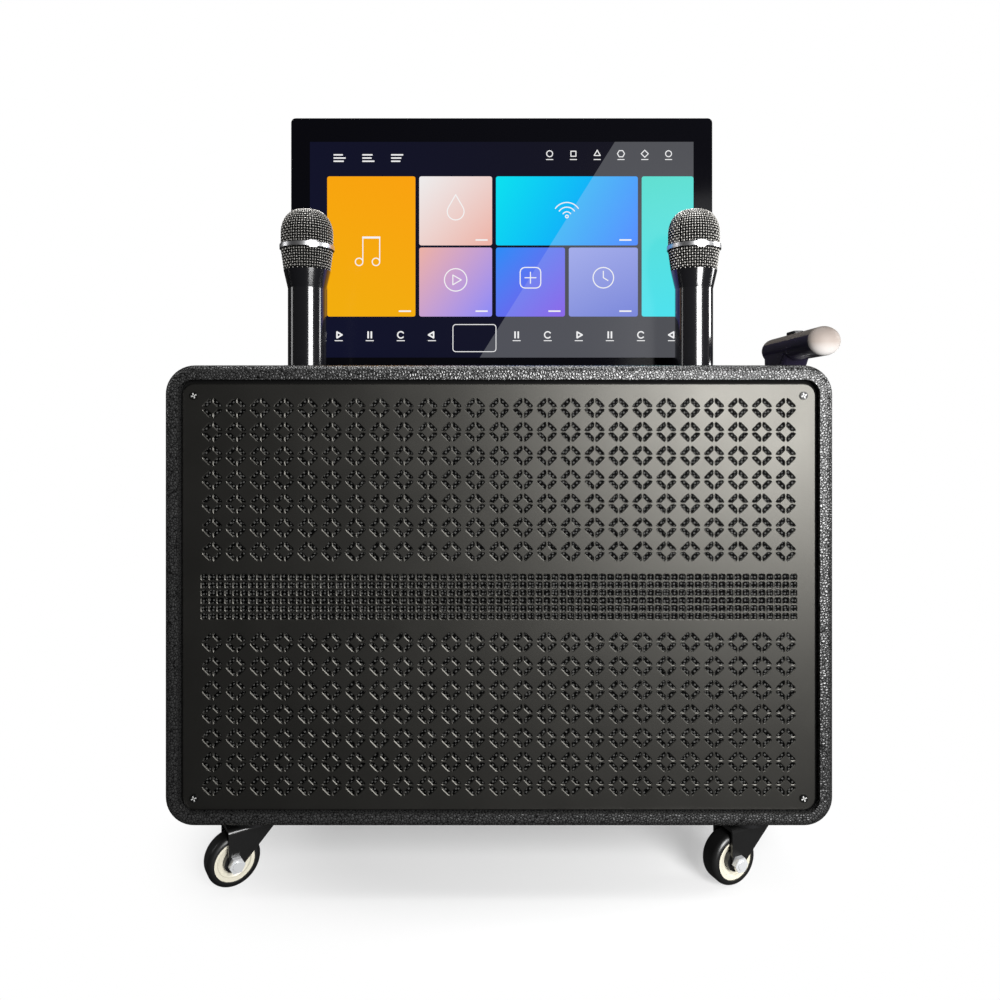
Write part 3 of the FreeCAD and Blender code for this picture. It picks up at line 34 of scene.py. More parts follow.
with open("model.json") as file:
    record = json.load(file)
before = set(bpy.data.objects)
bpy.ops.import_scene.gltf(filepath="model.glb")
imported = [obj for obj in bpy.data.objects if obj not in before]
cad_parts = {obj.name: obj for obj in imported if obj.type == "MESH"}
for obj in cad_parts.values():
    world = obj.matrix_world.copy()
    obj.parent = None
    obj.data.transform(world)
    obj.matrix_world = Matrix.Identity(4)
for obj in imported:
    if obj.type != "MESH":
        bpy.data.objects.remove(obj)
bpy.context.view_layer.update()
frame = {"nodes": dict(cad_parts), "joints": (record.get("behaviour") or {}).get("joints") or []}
nodes = frame["nodes"]
MM = 0.001
MERGE = 0.001 * MM


# Building helpers

def linked(name, data):
    """A new object in the scene."""
    made = bpy.data.objects.new(name, data)
    bpy.context.scene.collection.objects.link(made)
    return made


def mesh_of(name, bm):
    """The mesh of a bmesh, which is then freed."""
    mesh = bpy.data.meshes.new(name)
    bm.to_mesh(mesh)
    bm.free()
    return mesh


def finished(name, bm, body, look, stands_for=(), smooth_degrees=None):
    """Turn a bmesh into a piece that rides on a body."""
    bmesh.ops.recalc_face_normals(bm, faces=bm.faces)
    mesh = mesh_of(name, bm)
    mesh.materials.append(look)
    if smooth_degrees is not None:
        smooth(mesh, smooth_degrees)
    piece = linked(name, mesh)
    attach(piece, body)
    if stands_for:
        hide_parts(*stands_for)


def smooth(mesh, degrees):
    """Shade smooth, with sharp edges where faces meet at more than that angle."""
    for polygon in mesh.polygons:
        polygon.use_smooth = True
    mesh.set_sharp_from_angle(angle=math.radians(degrees))


def turned(bm, profile, steps, axis):
    """Turn a profile of radius and height about an upright axis."""
    verts = [bm.verts.new((axis.x + radius, axis.y, height)) for radius, height in profile]
    edges = [bm.edges.new(pair) for pair in zip(verts, verts[1:])]
    bmesh.ops.spin(bm, geom=verts + edges, cent=axis, axis=(0, 0, 1), angle=math.tau, steps=steps,
                   use_merge=True, use_duplicate=False)
    bmesh.ops.remove_doubles(bm, verts=bm.verts, dist=MERGE)


def round_rectangle(width, height, corner, steps=4):
    """Points of a rounded rectangle round the origin, counter-clockwise."""
    points = []
    for quarter in range(4):
        middle = math.pi / 2 * quarter + math.pi / 4
        sx, sy = math.copysign(1, math.cos(middle)), math.copysign(1, math.sin(middle))
        for step in range(steps + 1):
            turn = math.pi / 2 * (quarter + step / steps)
            points.append((sx * (width / 2 - corner) + corner * math.cos(turn),
                           sy * (height / 2 - corner) + corner * math.sin(turn)))
    return points


def flat_face(bm, points, y):
    """A face that looks to the front at depth y."""
    return bm.faces.new([bm.verts.new((x, y, z)) for x, z in reversed(points)])


# Material helpers

NUMBER_OPERATIONS = ("DOT_PRODUCT", "DISTANCE", "LENGTH")


def new_group(name, inputs, outputs):
    """A shader node group with its input and output nodes."""
    group = bpy.data.node_groups.new(name, "ShaderNodeTree")
    for label, kind, value in inputs:
        socket = group.interface.new_socket(label, in_out="INPUT", socket_type=kind)
        if value is not None:
            socket.default_value = value
    for label, kind in outputs:
        group.interface.new_socket(label, in_out="OUTPUT", socket_type=kind)
    return group, group.nodes.new("NodeGroupInput"), group.nodes.new("NodeGroupOutput")


def wired(tree, kind, settings=None, **links):
    """A node with its options set and its inputs fed by name, or by number after an underscore."""
    made = tree.nodes.new(kind)
    for option, value in (settings or {}).items():
        setattr(made, option, value)
    for label, source in links.items():
        numbered = label[0] == "_"
        socket = made.inputs[int(label[1:]) if numbered else label.replace("_", " ")]
        if isinstance(source, bpy.types.NodeSocket):
            tree.links.new(source, socket)
        else:
            socket.default_value = source
    return made


def by_number(values):
    """Values labelled for the first, second and later inputs of a node."""
    return {f"_{i}": value for i, value in enumerate(values)}


def maths(tree, operation, *values):
    """What a Math node makes of sockets or plain numbers."""
    return wired(tree, "ShaderNodeMath", {"operation": operation}, **by_number(values)).outputs[0]


def vectors(tree, operation, *values):
    """What a Vector Math node makes of sockets or plain vectors."""
    made = wired(tree, "ShaderNodeVectorMath", {"operation": operation}, **by_number(values))
    return made.outputs["Value" if operation in NUMBER_OPERATIONS else "Vector"]


def share_between(tree, value, low, high):
    """How far a value lies between two others, from none to one."""
    return wired(tree, "ShaderNodeMapRange", Value=value, From_Min=low, From_Max=high).outputs[0]


def blend(tree, share, first, second):
    """The colour between two others, each a socket or red, green and blue."""
    colors = [color if isinstance(color, bpy.types.NodeSocket) else (*color, 1) for color in (first, second)]
    made = wired(tree, "ShaderNodeMix", {"data_type": "RGBA"}, Factor=share, _6=colors[0], _7=colors[1])
    return made.outputs[2]


def place_of(tree):
    """The place of a point on the surface."""
    return tree.nodes.new("ShaderNodeTexCoord").outputs["Object"]


def height_of(tree):
    """The height of a point on the surface."""
    return wired(tree, "ShaderNodeSeparateXYZ", Vector=place_of(tree)).outputs["Z"]


def shader_of(look):
    return look.node_tree.nodes["Principled BSDF"]


def paint(look, color):
    """Let a colour socket feed the look's base colour."""
    look.node_tree.links.new(color, shader_of(look).inputs["Base Color"])


def grey(level):
    return (level, level, level)


# Finishes

BLOTCH_SCALE = 18.0
GRAIN_SCALE, GRAIN_DEPTH = 900.0, 0.05 * MM
PEBBLE_SCALE, PEBBLE_DEPTH, PEBBLE_CREASE = 400.0, 0.7 * MM, 0.16
WARP_SCALE, WARP_REACH = 260.0, 1.1 * MM
THREAD_SCALE, THREAD_EDGE, THREAD_CORE = 330.0, 0.36, 0.22
BRUSH_ALONG, BRUSH_ACROSS, BRUSH_DEPTH = 30, 1800, 0.03 * MM
BRIGHT_METAL = (0.62, 0.62, 0.63)
GRIP_HIGHLIGHT_DROP = 8 * MM
BAND_UNSHADED_WIDTH = 4 * MM
WIRE_DIP, WIRE_CREST = 0.55, 0.95


def worn_surface_group():
    """A colour with soft blotches, an uneven roughness and a fine grain on the normal."""
    group, inside, out = new_group(
        "worn_surface",
        [("Color", "NodeSocketColor", None), ("Roughness", "NodeSocketFloat", 0.5),
         ("Blotch", "NodeSocketFloat", 0.15), ("Grain Scale", "NodeSocketFloat", GRAIN_SCALE),
         ("Grain Depth", "NodeSocketFloat", GRAIN_DEPTH)],
        [("Color", "NodeSocketColor"), ("Roughness", "NodeSocketFloat"), ("Normal", "NodeSocketVector")])
    place = place_of(group)
    cloudy = wired(group, "ShaderNodeTexNoise", Vector=place, Scale=BLOTCH_SCALE, Detail=4.0)
    fine = wired(group, "ShaderNodeTexNoise", Vector=place, Scale=inside.outputs["Grain Scale"], Detail=2.0)
    signed = maths(group, "SUBTRACT", cloudy.outputs["Fac"], 0.5)
    amount = maths(group, "MULTIPLY", signed, inside.outputs["Blotch"])
    gain = maths(group, "MULTIPLY_ADD", amount, 2.0, 1.0)
    shade = wired(group, "ShaderNodeVectorMath", {"operation": "SCALE"}, Vector=inside.outputs["Color"],
                  Scale=gain)
    rough = wired(group, "ShaderNodeMath", {"operation": "ADD", "use_clamp": True},
                  _0=inside.outputs["Roughness"], _1=amount)
    bump = wired(group, "ShaderNodeBump", Height=fine.outputs["Fac"], Distance=inside.outputs["Grain Depth"])
    group.links.new(shade.outputs[0], out.inputs["Color"])
    group.links.new(rough.outputs[0], out.inputs["Roughness"])
    group.links.new(bump.outputs[0], out.inputs["Normal"])
    return group


WORN = worn_surface_group()


def surface(name, color, roughness, blotch=0.15, grain=GRAIN_SCALE, depth=GRAIN_DEPTH, **sockets):
    """A material on the worn surface group; sockets set the shader's uniform values."""
    look = bpy.data.materials.new(name)
    look.use_nodes = True
    tree = look.node_tree
    shader = shader_of(look)
    worn = tree.nodes.new("ShaderNodeGroup")
    worn.node_tree = WORN
    worn.inputs["Color"].default_value = (*color, 1)
    worn.inputs["Roughness"].default_value = roughness
    worn.inputs["Blotch"].default_value = blotch
    worn.inputs["Grain Scale"].default_value = grain
    worn.inputs["Grain Depth"].default_value = depth
    tree.links.new(worn.outputs["Color"], shader.inputs["Base Color"])
    tree.links.new(worn.outputs["Roughness"], shader.inputs["Roughness"])
    tree.links.new(worn.outputs["Normal"], shader.inputs["Normal"])
    for label, value in sockets.items():
        shader.inputs[label.replace("_", " ")].default_value = value
    return look


def two_tone(look, mask, color, metallic=0.0):
    """Where the mask is one, the look takes another colour, and may turn to metal."""
    tree = look.node_tree
    shader = shader_of(look)
    first = shader.inputs["Base Color"].links[0].from_socket
    paint(look, blend(tree, mask, first, color))
    if metallic:
        tree.links.new(maths(tree, "MULTIPLY", mask, metallic), shader.inputs["Metallic"])


def leatherette():
    """Black skin pressed into small pebbles, glossy on their crests, with painted shade making the creases
    dead black.
    """
    look = surface("leatherette", grey(0.005), 0.5, Specular_IOR_Level=0.0, Coat_Roughness=0.34,
                   Coat_IOR=1.75)
    tree = look.node_tree
    shader = shader_of(look)
    place = place_of(tree)
    warp = wired(tree, "ShaderNodeTexNoise", Vector=place, Scale=WARP_SCALE, Detail=2.0)
    bent = vectors(tree, "MULTIPLY_ADD", warp.outputs["Color"], (WARP_REACH, WARP_REACH, WARP_REACH), place)
    pebbles = wired(tree, "ShaderNodeTexVoronoi", {"feature": "DISTANCE_TO_EDGE"}, Vector=bent,
                    Scale=PEBBLE_SCALE, Randomness=0.95)
    crest = share_between(tree, pebbles.outputs["Distance"], 0.0, PEBBLE_CREASE)
    # Painted shade: the creases are painted near-black and the crests lighter.
    paint(look, blend(tree, crest, grey(0.0003), grey(0.02)))
    tree.links.new(crest, shader.inputs["Coat Weight"])
    bump = wired(tree, "ShaderNodeBump", Height=pebbles.outputs["Distance"], Distance=PEBBLE_DEPTH)
    tree.links.new(bump.outputs[0], shader.inputs["Normal"])
    tree.links.new(bump.outputs[0], shader.inputs["Coat Normal"])
    return look


def dotted_cloth():
    """Dark acoustic cloth with a fine grid of bright threads."""
    look = surface("dotted_cloth", grey(0.002), 0.6, Specular_IOR_Level=0.02)
    tree = look.node_tree
    spot = wired(tree, "ShaderNodeSeparateXYZ", Vector=place_of(tree))
    flat = wired(tree, "ShaderNodeCombineXYZ", X=spot.outputs["X"], Y=spot.outputs["Z"])
    cells = wired(tree, "ShaderNodeTexVoronoi", {"voronoi_dimensions": "2D"}, Vector=flat.outputs[0],
                  Scale=THREAD_SCALE, Randomness=0.3)
    dots = share_between(tree, cells.outputs["Distance"], THREAD_EDGE, THREAD_CORE)
    paint(look, blend(tree, dots, grey(0.0005), (0.055, 0.055, 0.053)))
    return look


def brushed(name, color, roughness, along="x"):
    """Metal with fine lines along an axis."""
    look = surface(name, color, roughness, Metallic=1.0)
    tree = look.node_tree
    stretch = [BRUSH_ALONG if axis == along else BRUSH_ACROSS for axis in "xyz"]
    scaled = vectors(tree, "MULTIPLY", place_of(tree), stretch)
    lines = wired(tree, "ShaderNodeTexNoise", Vector=scaled, Scale=1.0, Detail=2.0)
    bump = wired(tree, "ShaderNodeBump", Height=lines.outputs["Fac"], Distance=BRUSH_DEPTH)
    tree.links.new(bump.outputs[0], shader_of(look).inputs["Normal"])
    return look


def cap_painted_reflection():
    """A champagne end cap with a painted reflection: it pales from its crest to its underside, as if
    mirroring the white floor.
    """
    look = surface("cap_painted_reflection", (0.2, 0.18, 0.16), 0.5, 0.05, 1500.0, 0.004 * MM, Specular_IOR_Level=0.12)
    tree = look.node_tree
    low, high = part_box("handle_end_caps")
    # Painted reflection: pale at the underside, where the white floor would be mirrored, and dark at the
    # crest.
    fade = wired(tree, "ShaderNodeValToRGB", Fac=share_between(tree, height_of(tree), low.z, high.z))
    stops = fade.color_ramp.elements
    stops[0].color = (0.62, 0.6, 0.585, 1)
    stops[1].color = (0.1, 0.085, 0.075, 1)
    middle = stops.new(0.45)
    middle.color = (0.28, 0.24, 0.215, 1)
    paint(look, fade.outputs["Color"])
    return look


def grip_look_painted_highlight():
    """Dark satin plastic with a violet tint that stands in for a sheen, and a painted highlight: a champagne
    stripe along the grip's crest.
    """
    # The violet in this colour is a painted sheen.
    look = surface("satin_grip_painted_highlight", (0.012, 0.009, 0.024), 0.27, 0.15, 2200.0, 0.01 * MM)
    tree = look.node_tree
    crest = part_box("handle_grip")[1].z
    # Painted highlight: the crest is painted champagne where the overhead light would reflect.
    painted_highlight_stripe = maths(tree, "GREATER_THAN", height_of(tree), crest - GRIP_HIGHLIGHT_DROP)
    two_tone(look, painted_highlight_stripe, (0.11, 0.095, 0.085))
    return look


def band_with_painted_shade():
    """Bright metal along the middle of a head's band, with painted shade darkening its edges."""
    look = surface("band_with_painted_shade", BRIGHT_METAL, 0.34, 0.05, 900.0, 0.004 * MM, Metallic=1.0)
    tree = look.node_tree
    low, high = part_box("left_mic_band")
    offset = maths(tree, "SUBTRACT", height_of(tree), (low.z + high.z) / 2)
    # Painted shade: beyond the middle, the band's edges are painted near-black.
    edge = maths(tree, "GREATER_THAN", maths(tree, "ABSOLUTE", offset), BAND_UNSHADED_WIDTH / 2)
    two_tone(look, edge, grey(0.02))
    return look


def woven_wire_painted_glints():
    """Wire with painted glints where it passes over another and painted shade where it dips under."""
    look = surface("mic_wire_painted_glints", (0.5, 0.49, 0.47), 0.35, 0.1, 900.0, 0.005 * MM, Metallic=0.3,
                   Specular_IOR_Level=0.15)
    tree = look.node_tree
    crest = wired(tree, "ShaderNodeAttribute", {"attribute_name": "crest"})
    share = share_between(tree, crest.outputs["Fac"], WIRE_DIP, WIRE_CREST)
    # Painted glints on the crests and painted shade in the dips.
    paint(look, blend(tree, share, grey(0.003), (0.7, 0.68, 0.64)))
    return look


def glowing(name, first, second, angle_degrees, low, high):
    """A lit picture area that fades from one colour to another across a box."""
    look = bpy.data.materials.new(name)
    look.use_nodes = True
    tree = look.node_tree
    shader = shader_of(look)
    turn = math.radians(angle_degrees)
    across = Vector((math.cos(turn), 0, math.sin(turn)))
    reach = sum(abs(a * b) for a, b in zip(across, (high - low) / 2))
    run = vectors(tree, "DOT_PRODUCT", vectors(tree, "SUBTRACT", place_of(tree), (low + high) / 2), across)
    color = blend(tree, share_between(tree, run, -reach, reach), first, second)
    shader.inputs["Base Color"].default_value = (0.002, 0.002, 0.003, 1)
    shader.inputs["Roughness"].default_value = 0.2
    shader.inputs["Specular IOR Level"].default_value = 0.02
    shader.inputs["Emission Strength"].default_value = 1.0
    tree.links.new(color, shader.inputs["Emission Color"])
    return look


# Each plain surface: colour, roughness, blotches, grain scale and grain depth
LOOKS = {
    "leatherette": leatherette(),
    "cloth": dotted_cloth(),
    "sheet_black": surface("sheet_black", grey(0.0022), 0.43, 0.1, 2600.0, 0.006 * MM,
                           Specular_IOR_Level=0.63, Specular_Tint=(1.0, 0.97, 0.88, 1.0)),
    # The baffle is black board, darkened further as painted shade in the gap round the grille.
    "board_black_painted_shade": surface("board_black_painted_shade", grey(0.002), 0.8, 0.3, 300.0, 0.2 * MM, Specular_IOR_Level=0.1),
    "laminate": surface("laminate", (0.025, 0.025, 0.026), 0.5, 0.15, 1400.0, 0.08 * MM),
    "paint_fine": surface("paint_fine", (0.02, 0.02, 0.022), 0.45, 0.15, 1600.0, 0.06 * MM),
    "paper_cone": surface("paper_cone", grey(0.025), 0.85, 0.3, 700.0, 0.2 * MM),
    "soft_black": surface("soft_black", (0.009, 0.009, 0.01), 0.5, 0.12, 1800.0, 0.03 * MM),
    "satin_grip_painted_highlight": grip_look_painted_highlight(),
    "gloss_black": surface("gloss_black", (0.006, 0.006, 0.007), 0.16, 0.06, 400.0, 0.005 * MM,
                           Coat_Weight=0.5),
    "screen_black": surface("screen_black", (0.002, 0.002, 0.003), 0.1, 0.03, 60.0, 0.0,
                            Specular_IOR_Level=0.012),
    "rocker_red": surface("rocker_red", (0.3, 0.012, 0.01), 0.25, 0.08, 900.0, 0.01 * MM),
    "steel": brushed("steel", (0.55, 0.55, 0.56), 0.3),
    "aluminium": brushed("aluminium", (0.62, 0.62, 0.64), 0.28, "z"),
    "dark_steel": brushed("dark_steel", (0.06, 0.06, 0.062), 0.38),
    "bright": surface("bright", BRIGHT_METAL, 0.34, 0.05, 900.0, 0.004 * MM, Metallic=1.0),
    "band_with_painted_shade": band_with_painted_shade(),
    "board_green": surface("board_green", (0.015, 0.12, 0.04), 0.4, 0.4, 500.0, 0.1 * MM),
    "case_grey": surface("case_grey", (0.1, 0.1, 0.11), 0.5, 0.2, 800.0, 0.05 * MM),
    "tyre": surface("tyre", grey(0.006), 0.34, 0.2, 1200.0, 0.02 * MM),
    "cap_painted_reflection": cap_painted_reflection(),
    "mic_wire_painted_glints": woven_wire_painted_glints(),
    "screw_black": surface("screw_black", grey(0.004), 0.35, 0.1, 900.0, 0.01 * MM, Specular_IOR_Level=0.15),
    # Painted highlight: the light grey of the screw slots stands in for glints on their edges.
    "slot_painted_glint": surface("slot_painted_glint", (0.4, 0.4, 0.39), 0.4, 0.1, 900.0, 0.01 * MM),
    "foam": surface("foam", grey(0.004), 0.95, 0.3, 1500.0, 0.3 * MM, Specular_IOR_Level=0.1),
    "white_mark": surface("white_mark", (0.85, 0.85, 0.83), 0.45, 0.04, 900.0, 0.01 * MM),
}

NODE_LOOKS = {
    "leatherette": ["cabinet_shell"],
    "cloth": ["grille_cloth"],
    "sheet_black": ["front_grille"],
    "board_black_painted_shade": ["front_baffle"],
    "laminate": ["rear_panel"],
    "paint_fine": ["woofer_frames", "control_tray", "handle_outer_tube"],
    "paper_cone": ["woofer_cones"],
    "soft_black": ["tweeters", "music_volume_knob", "echo_knob", "mic_volume_knob", "switch_cradle",
                   "mains_inlet", "rear_sockets", "screen_housing", "slot_trim", "handle_brackets",
                   "release_button", "left_mic_switch", "right_mic_switch"],
    "satin_grip_painted_highlight": ["handle_grip"],
    "gloss_black": ["mic_cups", "left_mic_handle", "right_mic_handle"],
    "screen_black": ["screen_glass"],
    "rocker_red": ["power_rocker"],
    "steel": ["potentiometers", "power_supply", "screen_rails"],
    "aluminium": ["amplifier_board", "hard_disk", "screen_carriage", "handle_middle_tube",
                  "handle_inner_tube"],
    "screw_black": ["panel_screws"],
    "dark_steel": ["caster_plates", "caster_screws"],
    "band_with_painted_shade": ["left_mic_band", "right_mic_band"],
    "board_green": ["player_board"],
    "case_grey": ["battery_pack", "display_panel"],
    "cap_painted_reflection": ["handle_end_caps"],
    "foam": ["left_mic_grille", "right_mic_grille"],
}

NODE_SHARP_DEGREES = 32


def dress(node, look):
    """Give a CAD node its look."""
    mesh = nodes[node].data
    mesh.materials.clear()
    mesh.materials.append(look)
    smooth(mesh, NODE_SHARP_DEGREES)


for look_name, members in NODE_LOOKS.items():
    for member in members:
        dress(member, LOOKS[look_name])


# Casters: zinc bolts in black forks, and black bearings in cream hubs, told apart by their place on the axle

CASTERS = ("front_left", "front_right", "rear_left", "rear_right")
FORK_HALF = 13.95 * MM
BOLT_RADIUS = 4.02 * MM
BEARING_RADIUS = 9.5 * MM
BOLT_METALLIC = 0.45


def axle_group():
    """How far a point lies from a wheel's mid-plane and from its axle line."""
    group, inside, out = new_group(
        "axle_distances", [("Centre", "NodeSocketVector", None), ("Axis", "NodeSocketVector", None)],
        [("Along", "NodeSocketFloat"), ("Radius", "NodeSocketFloat")])
    axis = inside.outputs["Axis"]
    offset = vectors(group, "SUBTRACT", place_of(group), inside.outputs["Centre"])
    run = vectors(group, "DOT_PRODUCT", offset, axis)
    part = wired(group, "ShaderNodeVectorMath", {"operation": "SCALE"}, Vector=axis, Scale=run)
    group.links.new(maths(group, "ABSOLUTE", run), out.inputs["Along"])
    group.links.new(vectors(group, "DISTANCE", offset, part.outputs[0]), out.inputs["Radius"])
    return group


AXLE_DISTANCES = axle_group()


def axle_distances(look, caster):
    """The outputs of the axle group, set for one caster, in a look's tree."""
    low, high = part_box(caster + "_tyre")
    roll = next(joint for joint in frame["joints"] if joint["name"] == caster + "_roll")
    made = look.node_tree.nodes.new("ShaderNodeGroup")
    made.node_tree = AXLE_DISTANCES
    made.inputs["Centre"].default_value = (low + high) / 2
    made.inputs["Axis"].default_value = roll["axis"]
    return made.outputs


def fork_look(caster):
    """Black paint, with zinc on the bolt's shank and on its ends outside the fork."""
    look = surface(caster + "_fork_paint", grey(0.006), 0.26, 0.1, 900.0, 0.01 * MM)
    tree = look.node_tree
    place = axle_distances(look, caster)
    outside = maths(tree, "GREATER_THAN", place["Along"], FORK_HALF)
    shank = maths(tree, "LESS_THAN", place["Radius"], BOLT_RADIUS)
    two_tone(look, maths(tree, "MAXIMUM", outside, shank), (0.7, 0.71, 0.72), BOLT_METALLIC)
    return look


def hub_look(caster):
    """Cream plastic round a black bearing."""
    look = surface(caster + "_hub_cream", (0.58, 0.55, 0.45), 0.3, 0.1, 700.0, 0.01 * MM)
    place = axle_distances(look, caster)
    bearing = maths(look.node_tree, "LESS_THAN", place["Radius"], BEARING_RADIUS)
    two_tone(look, bearing, grey(0.008))
    return look


for caster in CASTERS:
    dress(caster + "_fork", fork_look(caster))
    dress(caster + "_hub", hub_look(caster))
    dress(caster + "_tyre", LOOKS["tyre"])


# Front grille: two fields of four-slot motifs and a band of small square holes

MOTIF_COLUMNS, MOTIF_ROWS = 25, 7
MOTIF_PITCH = 21.5 * MM
MOTIF_SPAN = 18.9 * MM
SLOT_BAND = 3.1 * MM
SLOT_BRIDGE = 2.25 * MM
SLOT_CORNER = 0.9 * MM
FIELD_WIDTH = MOTIF_COLUMNS * MOTIF_PITCH
FIELD_RISE = 105.4 * MM
HOLE_ROWS = 6
HOLES_PER_MOTIF = 3
HOLE_SIDE = 5.2 * MM
HOLE_STEP = 7.05 * MM
HOLE_CORNER = 1.1 * MM
WINDOW_CORNER_STEPS = 2
BEVEL_WIDTH = 0.75 * MM
BEVEL_DEPTH = 0.4 * MM
GRILLE_CORNER = 11 * MM
GRILLE_CORNER_STEPS = 6
LIP_WIDTH = 1.0 * MM
LIP_DEPTH = 0.6 * MM
SHEET_MERGE = 0.002 * MM
NO_STEP = 1e-9
ON_SIDE = 1e-7


def rounded_outline(corners, radius, steps):
    """A closed outline with each corner replaced by an arc of about that radius."""
    points = []
    count = len(corners)
    for i, corner in enumerate(corners):
        before = (corners[i - 1] - corner).normalized()
        after = (corners[(i + 1) % count] - corner).normalized()
        half = before.angle(after) / 2
        back = radius / math.tan(half)
        start, end = corner + before * back, corner + after * back
        for step in range(steps + 1):
            share = step / steps
            inner = start.lerp(corner, share)
            outer = corner.lerp(end, share)
            points.append(inner.lerp(outer, share))
    return points


def windowed_tile(bm, outline, half_x, half_z, centre, front, thick):
    """A rectangle with one bevelled window; outline runs round the rectangle's middle."""
    rings = [[], [], [], []]
    depths = (front, front, front + BEVEL_DEPTH, front + thick)
    middle = sum(outline, Vector((0, 0))) / len(outline)
    borders = [border_point(middle, point - middle, half_x, half_z) for point in outline]
    for border, wide, point in zip(borders, grown(outline, BEVEL_WIDTH), outline):
        for ring, spot, y in zip(rings, (border, wide, point, point), depths):
            ring.append(bm.verts.new((centre.x + spot.x, y, centre.y + spot.y)))
    count = len(outline)
    for i in range(count):
        j = (i + 1) % count
        edge = [rings[0][i]]
        if on_side(borders[i], half_x) != on_side(borders[j], half_x):
            upright, level = (i, j) if on_side(borders[i], half_x) else (j, i)
            edge.append(bm.verts.new((centre.x + borders[upright].x, front, centre.y + borders[level].y)))
        bm.faces.new(edge + [rings[0][j], rings[1][j], rings[1][i]])
        for first, second in zip(rings[1:], rings[2:]):
            bm.faces.new((first[i], first[j], second[j], second[i]))


def grown(outline, amount):
    """A counter-clockwise outline moved outward by an amount."""
    moved = []
    count = len(outline)
    for i, point in enumerate(outline):
        along = outline[(i + 1) % count] - outline[i - 1]
        moved.append(point + Vector((along.y, -along.x)).normalized() * amount)
    return moved


def border_point(middle, way, half_x, half_z):
    """Where a ray from the window's middle leaves the rectangle."""
    reaches = []
    for start, step, half in ((middle.x, way.x, half_x), (middle.y, way.y, half_z)):
        if abs(step) > NO_STEP:
            reaches.append((math.copysign(half, step) - start) / step)
    return middle + way * min(reaches)


def on_side(point, half_x):
    """Whether a border point lies on the rectangle's left or right side."""
    return abs(abs(point.x) - half_x) < ON_SIDE


def slot_outline(quarter_turns):
    """One 45 degree slot of a motif, in its quadrant, about the quadrant's middle."""
    near, far = SLOT_BRIDGE / 2, MOTIF_SPAN / 2
    inner = far - SLOT_BAND * math.sqrt(2)
    corners = [Vector((inner, near)), Vector((far, near)), Vector((near, far)), Vector((near, inner))]
    middle = Vector((MOTIF_PITCH / 4, MOTIF_PITCH / 4))
    outline = rounded_outline([corner - middle for corner in corners], SLOT_CORNER, WINDOW_CORNER_STEPS)
    spin = Matrix.Rotation(math.pi / 2 * quarter_turns, 2)
    return [spin @ point for point in outline]


def add_array(sheet, name, bm, steps):
    """Add a tile to the sheet, repeated along each step."""
    holder = linked(name, mesh_of(name, bm))
    for count, offset in steps:
        copies = holder.modifiers.new("repeat", "ARRAY")
        copies.count = count
        copies.use_relative_offset = False
        copies.use_constant_offset = True
        copies.constant_offset_displace = offset
    shown = holder.evaluated_get(bpy.context.evaluated_depsgraph_get())
    tiles = bpy.data.meshes.new_from_object(shown)
    bpy.data.objects.remove(holder)
    sheet.from_mesh(tiles)
    bpy.data.meshes.remove(tiles)


def slot_fields(sheet, front, thick, middle_z):
    """The fields of motifs above and below the band, with four slots to a motif."""
    half = MOTIF_PITCH / 4
    for side in (-1, 1):
        bm = bmesh.new()
        field_low = middle_z + side * FIELD_RISE - (MOTIF_ROWS - 1) / 2 * MOTIF_PITCH
        first = Vector((-FIELD_WIDTH / 2 + MOTIF_PITCH / 2, field_low))
        for quarter in range(4):
            spin = Matrix.Rotation(math.pi / 2 * quarter, 2)
            centre = first + spin @ Vector((half, half))
            windowed_tile(bm, slot_outline(quarter), half, half, centre, front, thick)
        add_array(sheet, "grille_field", bm, [(MOTIF_COLUMNS, (MOTIF_PITCH, 0, 0)),
                                              (MOTIF_ROWS, (0, 0, MOTIF_PITCH))])


def hole_band(sheet, front, thick, middle_z):
    """The band of square holes across the sheet's middle."""
    bm = bmesh.new()
    hole_pitch = MOTIF_PITCH / HOLES_PER_MOTIF
    band_low = middle_z - (HOLE_ROWS - 1) / 2 * HOLE_STEP
    corners = round_rectangle(HOLE_SIDE, HOLE_SIDE, HOLE_CORNER, WINDOW_CORNER_STEPS)
    outline = [Vector(corner) for corner in corners]
    first = Vector((-FIELD_WIDTH / 2 + hole_pitch / 2, band_low))
    windowed_tile(bm, outline, hole_pitch / 2, HOLE_STEP / 2, first, front, thick)
    add_array(sheet, "grille_band", bm, [(MOTIF_COLUMNS * HOLES_PER_MOTIF, (hole_pitch, 0, 0)),
                                         (HOLE_ROWS, (0, 0, HOLE_STEP))])


